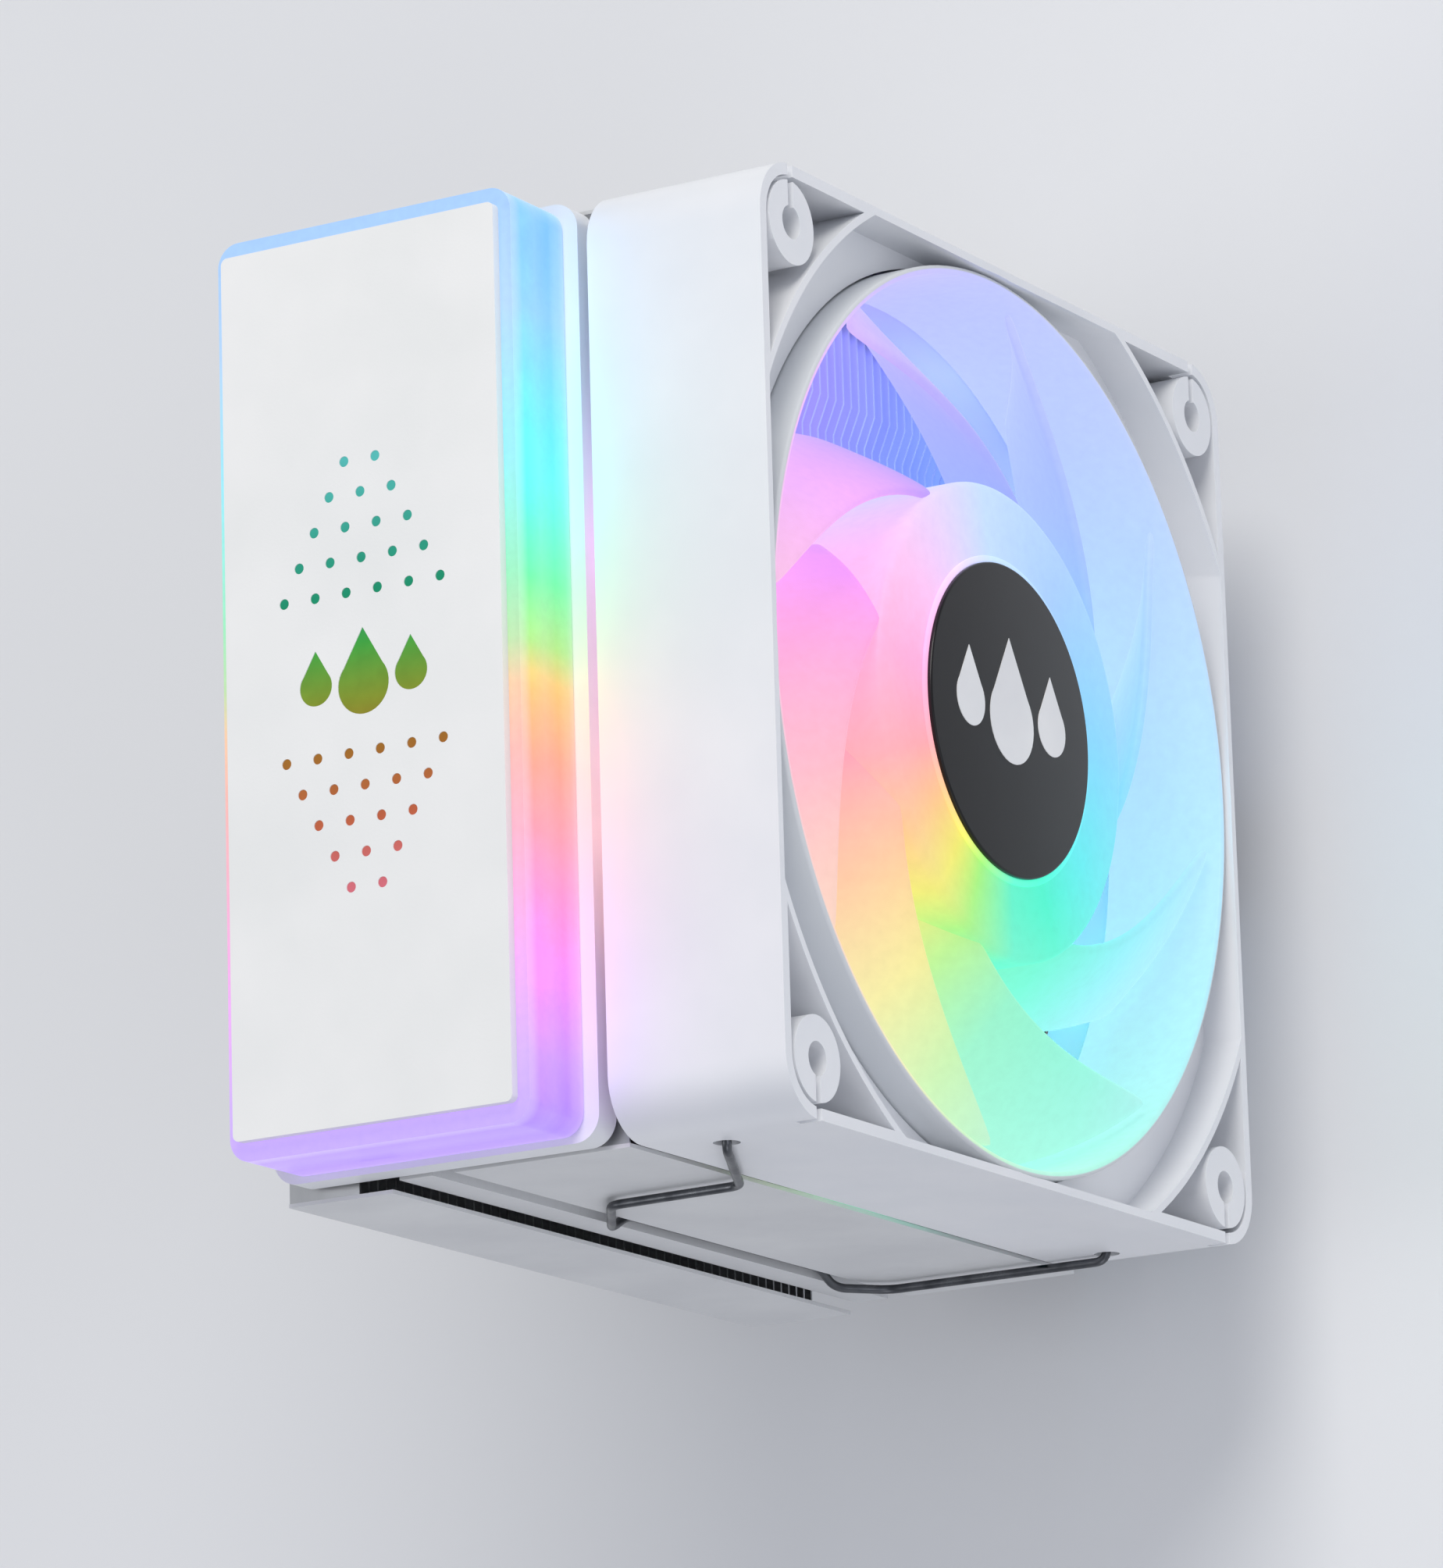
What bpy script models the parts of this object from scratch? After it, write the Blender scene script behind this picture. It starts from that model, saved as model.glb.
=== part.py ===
"""Tower cooling radiator for a computer processor, with a lit cover and a clip-on fan.

The contact face lies on z = 0 with the origin at its centre. +Z runs up the tower, +X is the
fan's intake side, and the fins' closed sides face +Y and -Y. All sizes are in metres.
"""
import math

import bmesh
import bpy
from mathutils import Matrix, Vector

MM = 0.001
GAP = 0.3 * MM                 # space left between two touching pieces
MARGIN = 1 * MM                # how far a cutter reaches past the face it opens

# Small screws that hold the tray and the bar
SCREW_RADIUS, SCREW_HOLE_RADIUS, SCREW_HEAD_HEIGHT = 1.2 * MM, 1.6 * MM, 1.6 * MM

# Base
PLATE_X, PLATE_Y, PLATE_Z = 38 * MM, 33 * MM, 3 * MM
BLOCK_X, BLOCK_Y, BLOCK_Z = 40 * MM, 34 * MM, 10 * MM
BLOCK_BOTTOM = PLATE_Z + GAP
BLOCK_TOP = BLOCK_BOTTOM + BLOCK_Z

# Heat pipes: two reach far out, two stay near, taking turns along X
PIPE_RADIUS = 3 * MM
PIPE_PITCH = 10 * MM
PIPE_X = [(index - 1.5) * PIPE_PITCH for index in range(4)]
PIPE_LEG_Y = [33 * MM, 46 * MM, 33 * MM, 46 * MM]
PIPE_BEND = 14 * MM
PIPE_Z = BLOCK_BOTTOM + 3.1 * MM
PIPE_TOP = 138.8 * MM
CHANNEL_RADIUS = PIPE_RADIUS + 0.4 * MM

# Fin stack
FIN_COUNT = 14
FIN_THICKNESS = 0.5 * MM
FIN_BOTTOM, FIN_TOP = 24 * MM, 136.5 * MM
FIN_HALF_X = 25 * MM
SIDE_Y = 59.8 * MM             # closed side next to the fan
PROUD_SIDE_Y = 61.3 * MM       # closed side at the back, which stands out further
SIDE_WALL = 0.6 * MM
SLIT_X = (-9.5 * MM, -8.5 * MM)
GROOVE_X, GROOVE_WIDTH, GROOVE_DEPTH = -2 * MM, 3.2 * MM, 2 * MM
FRONT_CUTBACK = 1.8 * MM

# Cover
TRAY_TOP, TRAY_SHEET, TRAY_SKIRT = 141 * MM, 1.6 * MM, 4 * MM
TRAY_HALF_X, TRAY_HALF_Y = 23.8 * MM, 59.6 * MM
LIGHT_X, LIGHT_Y = 43.6 * MM, 117.6 * MM
LIGHT_BOTTOM, LIGHT_TOP = TRAY_TOP + GAP, 153.4 * MM
LIGHT_WALL, LIGHT_LEDGE = 1.8 * MM, 1.5 * MM
OPENING_X, OPENING_Y = 35 * MM, 109 * MM
TOP_X, TOP_Y, TOP_THICKNESS = 40.6 * MM, 113 * MM, 1.3 * MM
TOWER_HEIGHT = 155 * MM
DOT_RADIUS, DOT_PITCH, DOT_ROW = 0.68 * MM, 4.6 * MM, 4.2 * MM
FIRST_ROW_Y = 10.2 * MM
TRAY_SCREW_X, TRAY_SCREW_Y = 14 * MM, 54.2 * MM
TRAY_WALL = 1.4 * MM
DIFFUSER_X, DIFFUSER_Y, DIFFUSER_THICKNESS = 34 * MM, 108 * MM, 1 * MM
COVER_BOARD_X, COVER_BOARD_Y, BOARD_THICKNESS = 34 * MM, 102 * MM, 1.2 * MM
LAMP_SIDE, LAMP_HEIGHT, LAMP_X, LAMP_PITCH = 5 * MM, 1.2 * MM, 13 * MM, 38 * MM
DROPS = ((-7 * MM, 7 * MM), (0, 11 * MM), (7 * MM, 7 * MM))    # place along X, and height

# Mounting bar and its captive screws
BAR_THICKNESS, BAR_WIDTH, BAR_HALF = 2 * MM, 14 * MM, 43 * MM
BAR_TOP, BAR_DROP = BLOCK_TOP + GAP + BAR_THICKNESS, 5 * MM
CAPTIVE_X = 37.5 * MM
CAPTIVE_RADIUS = 1.9 * MM
CAPTIVE_BORE = CAPTIVE_RADIUS + 0.3 * MM
SPRING_HEIGHT, SPRING_RADIUS, SPRING_WIRE, SPRING_TURNS = 7 * MM, 3 * MM, 0.45 * MM, 4
BAR_SCREW_X = 10 * MM

# Fan
FAN_SIZE, FAN_DEPTH = 120 * MM, 25 * MM
FAN_OUTLET = FIN_HALF_X + 2 * MM
FAN_INTAKE = FAN_OUTLET + FAN_DEPTH
FAN_Z = 84 * MM
FAN_HOLE = 52.5 * MM           # half of the 105 mm hole pattern
BORE_RADIUS = 59 * MM
HUB_RADIUS, TIP_RADIUS, SHAFT_RADIUS = 31 * MM, 56.8 * MM, 1.5 * MM
BLADE_COUNT = 8
BLADE_SPAN = 26 * MM           # the length that the blade's sweep below is drawn over
BLADE_ROOT_ANGLE, ROOT_CHORD, TIP_CHORD = -12, 29, 25
BLADE_DEPTH, BLADE_CAMBER = 13.2 * MM, 1.2 * MM
MOUTH_BAND_RADIUS, MOUTH_BAND_DEPTH = 66.8 * MM, 5.5 * MM
POCKET_DEPTH, POCKET_WALL, BOSS_RADIUS = 12 * MM, 1.5 * MM, 5.4 * MM
SEAT_THICKNESS = 2.2 * MM
MOTOR_SEAT = FAN_OUTLET + SEAT_THICKNESS
HUB_FACE, HUB_WALL, BADGE_RADIUS = 50.6 * MM, 1.6 * MM, 20.4 * MM
POLE_LOW, POLE_HIGH = 33 * MM, 41 * MM
POLE_HALF_WIDTH, SHOE_INNER, SHOE_OUTER = 1.6 * MM, 12.8 * MM, 15.2 * MM
CLIP_HOLE_X = 36 * MM
CLIP_HOLES_Z = (131.5 * MM, 36.5 * MM)
WIRE_RADIUS = 0.6 * MM
WIRE_Y = 60.9 * MM

WHITE = ((0.86, 0.87, 0.89), 0.45, 0.0)
FROSTED = ((0.92, 0.94, 0.97), 0.35, 0.0)
ALUMINIUM = ((0.72, 0.73, 0.75), 0.32, 1.0)
COPPER = ((0.82, 0.52, 0.38), 0.25, 1.0)
NICKEL = ((0.70, 0.69, 0.67), 0.22, 1.0)
STEEL = ((0.30, 0.31, 0.33), 0.35, 1.0)
BRIGHT_STEEL = ((0.62, 0.63, 0.65), 0.28, 1.0)
BRASS = ((0.78, 0.63, 0.34), 0.3, 1.0)
RUBBER = ((0.75, 0.76, 0.78), 0.8, 0.0)
BOARD = ((0.85, 0.86, 0.84), 0.55, 0.0)
LAMP = ((0.95, 0.93, 0.80), 0.3, 0.0)
BLACK = ((0.02, 0.02, 0.022), 0.25, 0.0)
MAGNET = ((0.08, 0.08, 0.09), 0.7, 0.0)

ALONG_Y = Matrix.Rotation(math.radians(90), 4, "X")
# Turns a drawing in X and Y, with its depth along Z, into one in Y and Z with its depth along X
FACING_FAN = Matrix(((0, 0, 1, 0), (1, 0, 0, 0), (0, 1, 0, 0), (0, 0, 0, 1)))
# Turns a drawing in X and Y into one in X and Z, with its depth along -Y
SIDE_ON = ALONG_Y


def clear_scene():
    for item in list(bpy.data.objects):
        bpy.data.objects.remove(item, do_unlink=True)


def new_collection(name):
    collection = bpy.data.collections.new(name)
    bpy.context.scene.collection.children.link(collection)
    return collection


def paint(item, name, look):
    colour, roughness, metallic = look
    material = bpy.data.materials.new(name)
    material.use_nodes = True
    shader = material.node_tree.nodes["Principled BSDF"]
    shader.inputs["Base Color"].default_value = (*colour, 1)
    shader.inputs["Roughness"].default_value = roughness
    shader.inputs["Metallic"].default_value = metallic
    item.data.materials.clear()
    item.data.materials.append(material)


def part(item, name, look, smooth=False):
    """Names an object as a finished piece and gives it its own material."""
    item.name = name
    item.data.name = name
    PARTS.objects.link(item)
    paint(item, name, look)
    if smooth:
        item.data.shade_smooth()
        item.data.set_sharp_from_angle(angle=math.radians(35))
    return item


def cutter(item, name):
    item.name = name
    item.hide_render = True
    item.display_type = "WIRE"
    CUTTERS.objects.link(item)
    return item


def combine(target, other, operation):
    modifier = target.modifiers.new(other.name, "BOOLEAN")
    modifier.operation = operation
    modifier.object = other


def mesh_object(bm, name="shape"):
    mesh = bpy.data.meshes.new(name)
    bm.to_mesh(mesh)
    bm.free()
    return bpy.data.objects.new(name, mesh)


def boxes(places):
    """One mesh of separate boxes, each given by its low and high corner."""
    bm = bmesh.new()
    for low, high in places:
        middle = (Vector(low) + Vector(high)) / 2
        size = Vector(high) - Vector(low)
        matrix = Matrix.Translation(middle) @ Matrix.Diagonal((*size, 1))
        bmesh.ops.create_cube(bm, size=1, matrix=matrix)
    return mesh_object(bm)


def box(low, high):
    return boxes([(low, high)])


def cylinders(starts, axis, length, radius, sides):
    """One mesh of separate cylinders that run from each start point along an axis."""
    bm = bmesh.new()
    direction = Vector(axis)
    turn = direction.to_track_quat("Z", "Y").to_matrix().to_4x4()
    for start in starts:
        middle = Vector(start) + direction * (length / 2)
        bmesh.ops.create_cone(bm, cap_ends=True, segments=sides, radius1=radius, radius2=radius,
                              depth=length, matrix=Matrix.Translation(middle) @ turn)
    return mesh_object(bm)


def as_mesh(item):
    """Replaces a curve object with the mesh it makes, its caps welded on."""
    graph = bpy.context.evaluated_depsgraph_get()
    bpy.context.scene.collection.objects.link(item)
    graph.update()
    mesh = bpy.data.meshes.new_from_object(item.evaluated_get(graph))
    bm = bmesh.new()
    bm.from_mesh(mesh)
    bmesh.ops.remove_doubles(bm, verts=bm.verts, dist=0.001 * MM)
    bmesh.ops.recalc_face_normals(bm, faces=bm.faces)
    bm.to_mesh(mesh)
    bm.free()
    result = bpy.data.objects.new(item.name, mesh)
    result.matrix_world = item.matrix_world
    bpy.data.objects.remove(item, do_unlink=True)
    return result


def flat(outline, thickness, matrix):
    """A flat piece: an outline in X and Y, filled, and thick to both sides of its plane."""
    curve = bpy.data.curves.new("outline", "CURVE")
    curve.dimensions = "2D"
    curve.fill_mode = "BOTH"
    curve.extrude = thickness / 2
    spline = curve.splines.new("POLY")
    spline.points.add(len(outline) - 1)
    for point, (x, y) in zip(spline.points, outline):
        point.co = (x, y, 0, 1)
    spline.use_cyclic_u = True
    result = as_mesh(bpy.data.objects.new("flat", curve))
    result.data.transform(matrix)
    return result


def tube(points, radius, resolution=2):
    """A bent rod or wire along a list of points."""
    curve = bpy.data.curves.new("tube", "CURVE")
    curve.dimensions = "3D"
    curve.bevel_depth = radius
    curve.bevel_resolution = resolution
    curve.use_fill_caps = True
    spline = curve.splines.new("POLY")
    spline.points.add(len(points) - 1)
    for point, place in zip(spline.points, points):
        point.co = (*place, 1)
    return as_mesh(bpy.data.objects.new("tube", curve))


def turned(profile, steps, matrix):
    """A turned piece from a profile of radius and height, drawn round local Z."""
    mesh = bpy.data.meshes.new("turned")
    edges = [(index, index + 1) for index in range(len(profile) - 1)]
    mesh.from_pydata([(radius, 0, height) for radius, height in profile], edges, [])
    item = bpy.data.objects.new("turned", mesh)
    screw = item.modifiers.new("Screw", "SCREW")
    screw.steps = steps
    screw.render_steps = steps
    screw.use_merge_vertices = True
    screw.merge_threshold = 0.01 * MM
    result = as_mesh(item)
    result.data.transform(matrix)
    return result


def ring(inner, outer, low, high, steps, matrix):
    profile = [(inner, high), (outer, high), (outer, low), (inner, low), (inner, high)]
    return turned(profile, steps, matrix)


def stepped_pin(profile, place, steps=16):
    return turned(profile, steps, Matrix.Translation(place))


def arc(centre, radius, start, end, steps):
    """Points on a circle from one angle to another, in degrees."""
    points = []
    for step in range(steps + 1):
        angle = math.radians(start + (end - start) * step / steps)
        points.append((centre[0] + radius * math.cos(angle), centre[1] + radius * math.sin(angle)))
    return points


def rounded_rectangle(size_x, size_y, radius, steps=4):
    points = []
    for quarter, (side_x, side_y) in enumerate(((1, 1), (-1, 1), (-1, -1), (1, -1))):
        centre = (side_x * (size_x / 2 - radius), side_y * (size_y / 2 - radius))
        points += arc(centre, radius, quarter * 90, quarter * 90 + 90, steps)
    return points


def rounded_path(corners, radius, steps):
    """A route through corner points, each inner corner replaced with a short curve."""
    points = [Vector(corners[0])]
    for before, corner, after in zip(corners, corners[1:], corners[2:]):
        corner = Vector(corner)
        start = corner + (Vector(before) - corner).normalized() * radius
        end = corner + (Vector(after) - corner).normalized() * radius
        for step in range(steps + 1):
            share = step / steps
            points.append(start * (1 - share) ** 2 + corner * 2 * share * (1 - share)
                          + end * share ** 2)
    points.append(Vector(corners[-1]))
    return points


def at_fan():
    return Matrix.Translation((0, 0, FAN_Z)) @ FACING_FAN


def mirrored(points):
    return [(x, -y) for x, y in reversed(points)]


# ---- Base and heat pipes -------------------------------------------------------------------

def contact_plate():
    plate = box((-PLATE_X / 2, -PLATE_Y / 2, 0), (PLATE_X / 2, PLATE_Y / 2, PLATE_Z))
    part(plate, "contact_plate", COPPER)


def base_block():
    block = box((-BLOCK_X / 2, -BLOCK_Y / 2, BLOCK_BOTTOM), (BLOCK_X / 2, BLOCK_Y / 2, BLOCK_TOP))
    part(block, "base_block", ALUMINIUM)
    for index, x in enumerate(PIPE_X):
        below = BLOCK_BOTTOM - MARGIN
        arch = [(x - CHANNEL_RADIUS, below), (x + CHANNEL_RADIUS, below)]
        arch += arc((x, PIPE_Z), CHANNEL_RADIUS, 0, 180, 8)
        combine(block, cutter(flat(arch, BLOCK_Y + 4 * MM, SIDE_ON), f"channel_{index}"), "DIFFERENCE")
    starts = [(side * BAR_SCREW_X, 0, 8 * MM) for side in (-1, 1)]
    holes = cylinders(starts, (0, 0, 1), 8 * MM, SCREW_HOLE_RADIUS, 12)
    combine(block, cutter(holes, "block_screw_holes"), "DIFFERENCE")


def pipe_route(x, leg_y):
    """A U in the plane of one x: down a leg, through the base and up the other leg."""
    low = PIPE_Z
    centre = (leg_y - PIPE_BEND, low + PIPE_BEND)
    half = [(leg_y, PIPE_TOP)] + arc(centre, PIPE_BEND, 0, -90, 5)
    other = [(-y, z) for y, z in reversed(half)]
    return [(x, y, z) for y, z in half + other]


def heat_pipes():
    for index, (x, leg_y) in enumerate(zip(PIPE_X, PIPE_LEG_Y), 1):
        pipe = tube(pipe_route(x, leg_y), PIPE_RADIUS, resolution=4)
        part(pipe, f"heat_pipe_{index}", NICKEL, smooth=True)


# ---- Fin stack -----------------------------------------------------------------------------

def fin_outline():
    """One fin from above. Its edges end inside the closed side walls."""
    inset = SIDE_WALL / 2
    near, proud = SIDE_Y - inset, PROUD_SIDE_Y - inset
    half_groove = GROOVE_WIDTH / 2 + inset
    floor = near - GROOVE_DEPTH
    half = [
        (FIN_HALF_X - FRONT_CUTBACK, 0), (FIN_HALF_X - FRONT_CUTBACK, 44 * MM),
        (FIN_HALF_X, 48 * MM), (FIN_HALF_X, near),
        (GROOVE_X + half_groove, near), (GROOVE_X + half_groove, floor),
        (GROOVE_X - half_groove, floor), (GROOVE_X - half_groove, near),
        (SLIT_X[1], near), (SLIT_X[1], near - 1 * MM), (SLIT_X[0], near - 1 * MM),
        (SLIT_X[0], proud), (-FIN_HALF_X, proud),
    ]
    return half + mirrored(half)[:-1]


def near_wall_outline():
    """The closed side next to the fan, folded in round the clip groove."""
    low, high = SIDE_Y - SIDE_WALL, SIDE_Y
    left, right = GROOVE_X - GROOVE_WIDTH / 2, GROOVE_X + GROOVE_WIDTH / 2
    return [
        (FIN_HALF_X, low), (FIN_HALF_X, high), (right, high), (right, high - GROOVE_DEPTH),
        (left, high - GROOVE_DEPTH), (left, high), (SLIT_X[1], high), (SLIT_X[1], low),
        (left - SIDE_WALL, low), (left - SIDE_WALL, low - GROOVE_DEPTH),
        (right + SIDE_WALL, low - GROOVE_DEPTH), (right + SIDE_WALL, low),
    ]


def proud_wall_outline():
    low, high = PROUD_SIDE_Y - SIDE_WALL, PROUD_SIDE_Y
    return [(SLIT_X[0], low), (SLIT_X[0], high), (-FIN_HALF_X, high), (-FIN_HALF_X, low)]


def joined(items):
    """Several meshes in one object, still separate bodies."""
    bm = bmesh.new()
    for item in items:
        bm.from_mesh(item.data)
        bpy.data.objects.remove(item, do_unlink=True)
    return mesh_object(bm)


def fin_stack():
    step = (FIN_TOP - FIN_BOTTOM - 2 * FIN_THICKNESS) / (FIN_COUNT - 1)
    fins = []
    for index in range(FIN_COUNT):
        height = FIN_BOTTOM + FIN_THICKNESS + index * step
        fins.append(flat(fin_outline(), FIN_THICKNESS, Matrix.Translation((0, 0, height))))
    stack = part(joined(fins), "fin_stack", ALUMINIUM)
    middle = Matrix.Translation((0, 0, (FIN_BOTTOM + FIN_TOP) / 2))
    walls = []
    for outline in (near_wall_outline(), proud_wall_outline()):
        walls.append(flat(outline, FIN_TOP - FIN_BOTTOM, middle))
        walls.append(flat(mirrored(outline), FIN_TOP - FIN_BOTTOM, middle))
    combine(stack, cutter(joined(walls), "fin_side_walls"), "UNION")
    legs = [(x, side * y, FIN_BOTTOM - MARGIN) for x, y in zip(PIPE_X, PIPE_LEG_Y) for side in (-1, 1)]
    holes = cylinders(legs, (0, 0, 1), FIN_TOP - FIN_BOTTOM + 2 * MARGIN, PIPE_RADIUS + 0.9 * MM, 6)
    combine(stack, cutter(holes, "pipe_holes"), "DIFFERENCE")
    screws = cylinders(tray_screw_places(FIN_TOP - 2 * MM), (0, 0, 1), 3 * MM, SCREW_HOLE_RADIUS, 8)
    combine(stack, cutter(screws, "top_fin_screw_holes"), "DIFFERENCE")


# ---- Cover ---------------------------------------------------------------------------------

def tray_screw_places(height):
    return [(sx * TRAY_SCREW_X, sy * TRAY_SCREW_Y, height) for sx in (-1, 1) for sy in (-1, 1)]


def cover_tray():
    low = TRAY_TOP - TRAY_SKIRT
    outline = rounded_rectangle(2 * TRAY_HALF_X, 2 * TRAY_HALF_Y, 3.5 * MM)
    tray = flat(outline, TRAY_SKIRT, Matrix.Translation((0, 0, (low + TRAY_TOP) / 2)))
    part(tray, "cover_tray", WHITE)
    inner_x, inner_y = TRAY_HALF_X - TRAY_WALL, TRAY_HALF_Y - TRAY_WALL
    hollow = box((-inner_x, -inner_y, low - MARGIN), (inner_x, inner_y, TRAY_TOP - TRAY_SHEET))
    combine(tray, cutter(hollow, "tray_hollow"), "DIFFERENCE")
    holes = cylinders(tray_screw_places(TRAY_TOP - 3 * MM), (0, 0, 1), 4 * MM, SCREW_HOLE_RADIUS, 12)
    combine(tray, cutter(holes, "tray_screw_holes"), "DIFFERENCE")


def small_screw(tip, head, head_radius):
    """Half section of a plain screw: its head stands on the height called head."""
    top = head + SCREW_HEAD_HEIGHT
    return [(0, top), (head_radius, top), (head_radius, head), (SCREW_RADIUS, head),
            (SCREW_RADIUS, tip), (0, tip)]


def tray_screws():
    """Four screws from the tray through the top fin, each with a nut under the fin."""
    profile = small_screw(FIN_TOP - 3.2 * MM, TRAY_TOP + GAP, 2.2 * MM)
    low, high = FIN_TOP - 2.6 * MM, FIN_TOP - FIN_THICKNESS - GAP
    for index, place in enumerate(tray_screw_places(0), 1):
        part(stepped_pin(profile, place, 12), f"tray_screw_{index}", BRIGHT_STEEL)
        nut = ring(SCREW_HOLE_RADIUS, 2.7 * MM, low, high, 6, Matrix.Translation(place))
        part(nut, f"tray_nut_{index}", BRASS)


def light_frame():
    outline = rounded_rectangle(LIGHT_X, LIGHT_Y, 3 * MM)
    height = LIGHT_TOP - LIGHT_BOTTOM
    frame = flat(outline, height, Matrix.Translation((0, 0, LIGHT_BOTTOM + height / 2)))
    round_top_edge(frame, LIGHT_TOP, 1.2 * MM)
    part(frame, "light_frame", FROSTED, smooth=True)
    inner_x, inner_y = LIGHT_X / 2 - LIGHT_WALL, LIGHT_Y / 2 - LIGHT_WALL
    hollow = box((-inner_x, -inner_y, LIGHT_BOTTOM - MARGIN), (inner_x, inner_y, LIGHT_TOP - LIGHT_LEDGE))
    combine(frame, cutter(hollow, "light_frame_hollow"), "DIFFERENCE")
    opening = box((-OPENING_X / 2, -OPENING_Y / 2, LIGHT_TOP - 4 * MM),
                  (OPENING_X / 2, OPENING_Y / 2, LIGHT_TOP + MARGIN))
    combine(frame, cutter(opening, "light_frame_opening"), "DIFFERENCE")


def round_top_edge(item, height, width):
    bm = bmesh.new()
    bm.from_mesh(item.data)
    bmesh.ops.dissolve_limit(bm, angle_limit=math.radians(1), verts=bm.verts, edges=bm.edges)
    rim = [edge for edge in bm.edges if all(abs(vert.co.z - height) < 0.01 * MM for vert in edge.verts)]
    bmesh.ops.bevel(bm, geom=rim, offset=width, segments=2, profile=0.5, affect="EDGES")
    bm.to_mesh(item.data)
    bm.free()


def dot_places():
    """Two triangles of dots that point away from the middle, with rows of six to two."""
    places = []
    for side in (-1, 1):
        for row in range(5):
            count = 6 - row
            y = side * (FIRST_ROW_Y + row * DOT_ROW)
            places += [((column - (count - 1) / 2) * DOT_PITCH, y) for column in range(count)]
    return places


def drop_outline(x, height):
    """A water drop, pointed at the top, standing on its round end."""
    radius = height * 0.34
    low = -height / 2 + radius
    return arc((x, low), radius, -220, 40, 12) + [(x, height / 2)]


def top_plate():
    low = TOWER_HEIGHT - TOP_THICKNESS
    outline = rounded_rectangle(TOP_X, TOP_Y, 0.8 * MM, steps=2)
    plate = flat(outline, TOP_THICKNESS, Matrix.Translation((0, 0, low + TOP_THICKNESS / 2)))
    part(plate, "top_plate", WHITE)
    starts = [(x, y, low - MARGIN) for x, y in dot_places()]
    dots = cylinders(starts, (0, 0, 1), TOP_THICKNESS + 2 * MARGIN, DOT_RADIUS, 6)
    combine(plate, cutter(dots, "dot_holes"), "DIFFERENCE")
    through = Matrix.Translation((0, 0, low + TOP_THICKNESS / 2))
    drops = [flat(drop_outline(x, height), TOP_THICKNESS + 2 * MARGIN, through) for x, height in DROPS]
    combine(plate, cutter(joined(drops), "drop_windows"), "DIFFERENCE")


def cover_lights():
    """The frosted sheet behind the pattern, and the board with its six lamps below it."""
    high = TOWER_HEIGHT - TOP_THICKNESS - 0.4 * MM
    part(centred_sheet(DIFFUSER_X, DIFFUSER_Y, high - DIFFUSER_THICKNESS, high), "pattern_diffuser", FROSTED)
    low = TRAY_TOP + 0.4 * MM
    board_top = low + BOARD_THICKNESS
    part(centred_sheet(COVER_BOARD_X, COVER_BOARD_Y, low, board_top), "cover_circuit_board", BOARD)
    for index in range(6):
        lamp = centred_sheet(LAMP_SIDE, LAMP_SIDE, board_top + GAP, board_top + GAP + LAMP_HEIGHT)
        place = (LAMP_X * (-1) ** index, (index // 2 - 1) * LAMP_PITCH, 0)
        lamp.data.transform(Matrix.Translation(place))
        part(lamp, f"cover_lamp_{index + 1}", LAMP)


def centred_sheet(size_x, size_y, low, high):
    return box((-size_x / 2, -size_y / 2, low), (size_x / 2, size_y / 2, high))


# ---- Mounting bar and captive screws -------------------------------------------------------

def mounting_bar():
    """A bar over the base, stepped down at both ends, drawn from the side."""
    high, thick, drop = BAR_TOP, BAR_THICKNESS, BAR_DROP
    outline = [
        (-BAR_HALF, high - thick - drop), (-28 * MM, high - thick - drop),
        (-22.5 * MM, high - thick), (22.5 * MM, high - thick),
        (28 * MM, high - thick - drop), (BAR_HALF, high - thick - drop),
        (BAR_HALF, high - drop), (29 * MM, high - drop),
        (23.5 * MM, high), (-23.5 * MM, high), (-29 * MM, high - drop), (-BAR_HALF, high - drop),
    ]
    bar = part(flat(outline, BAR_WIDTH, SIDE_ON), "mounting_bar", BRIGHT_STEEL)
    screws = [(side * CAPTIVE_X, 0, 0) for side in (-1, 1)]
    wide = cylinders(screws, (0, 0, 1), 20 * MM, CAPTIVE_RADIUS + 0.4 * MM, 16)
    combine(bar, cutter(wide, "bar_captive_holes"), "DIFFERENCE")
    screws = [(side * BAR_SCREW_X, 0, 0) for side in (-1, 1)]
    narrow = cylinders(screws, (0, 0, 1), 20 * MM, SCREW_HOLE_RADIUS, 12)
    combine(bar, cutter(narrow, "bar_screw_holes"), "DIFFERENCE")


def bar_screws():
    profile = small_screw(8.6 * MM, BAR_TOP + GAP, 2.6 * MM)
    for index, side in enumerate((-1, 1), 1):
        part(stepped_pin(profile, (side * BAR_SCREW_X, 0, 0)), f"bar_screw_{index}", BRIGHT_STEEL)


def spring_route(x, low, high):
    points = []
    steps_round = 8
    steps = SPRING_TURNS * steps_round
    for step in range(steps + 1):
        angle = 2 * math.pi * step / steps_round
        points.append((x + SPRING_RADIUS * math.cos(angle), SPRING_RADIUS * math.sin(angle),
                       low + (high - low) * step / steps))
    return points


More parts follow.
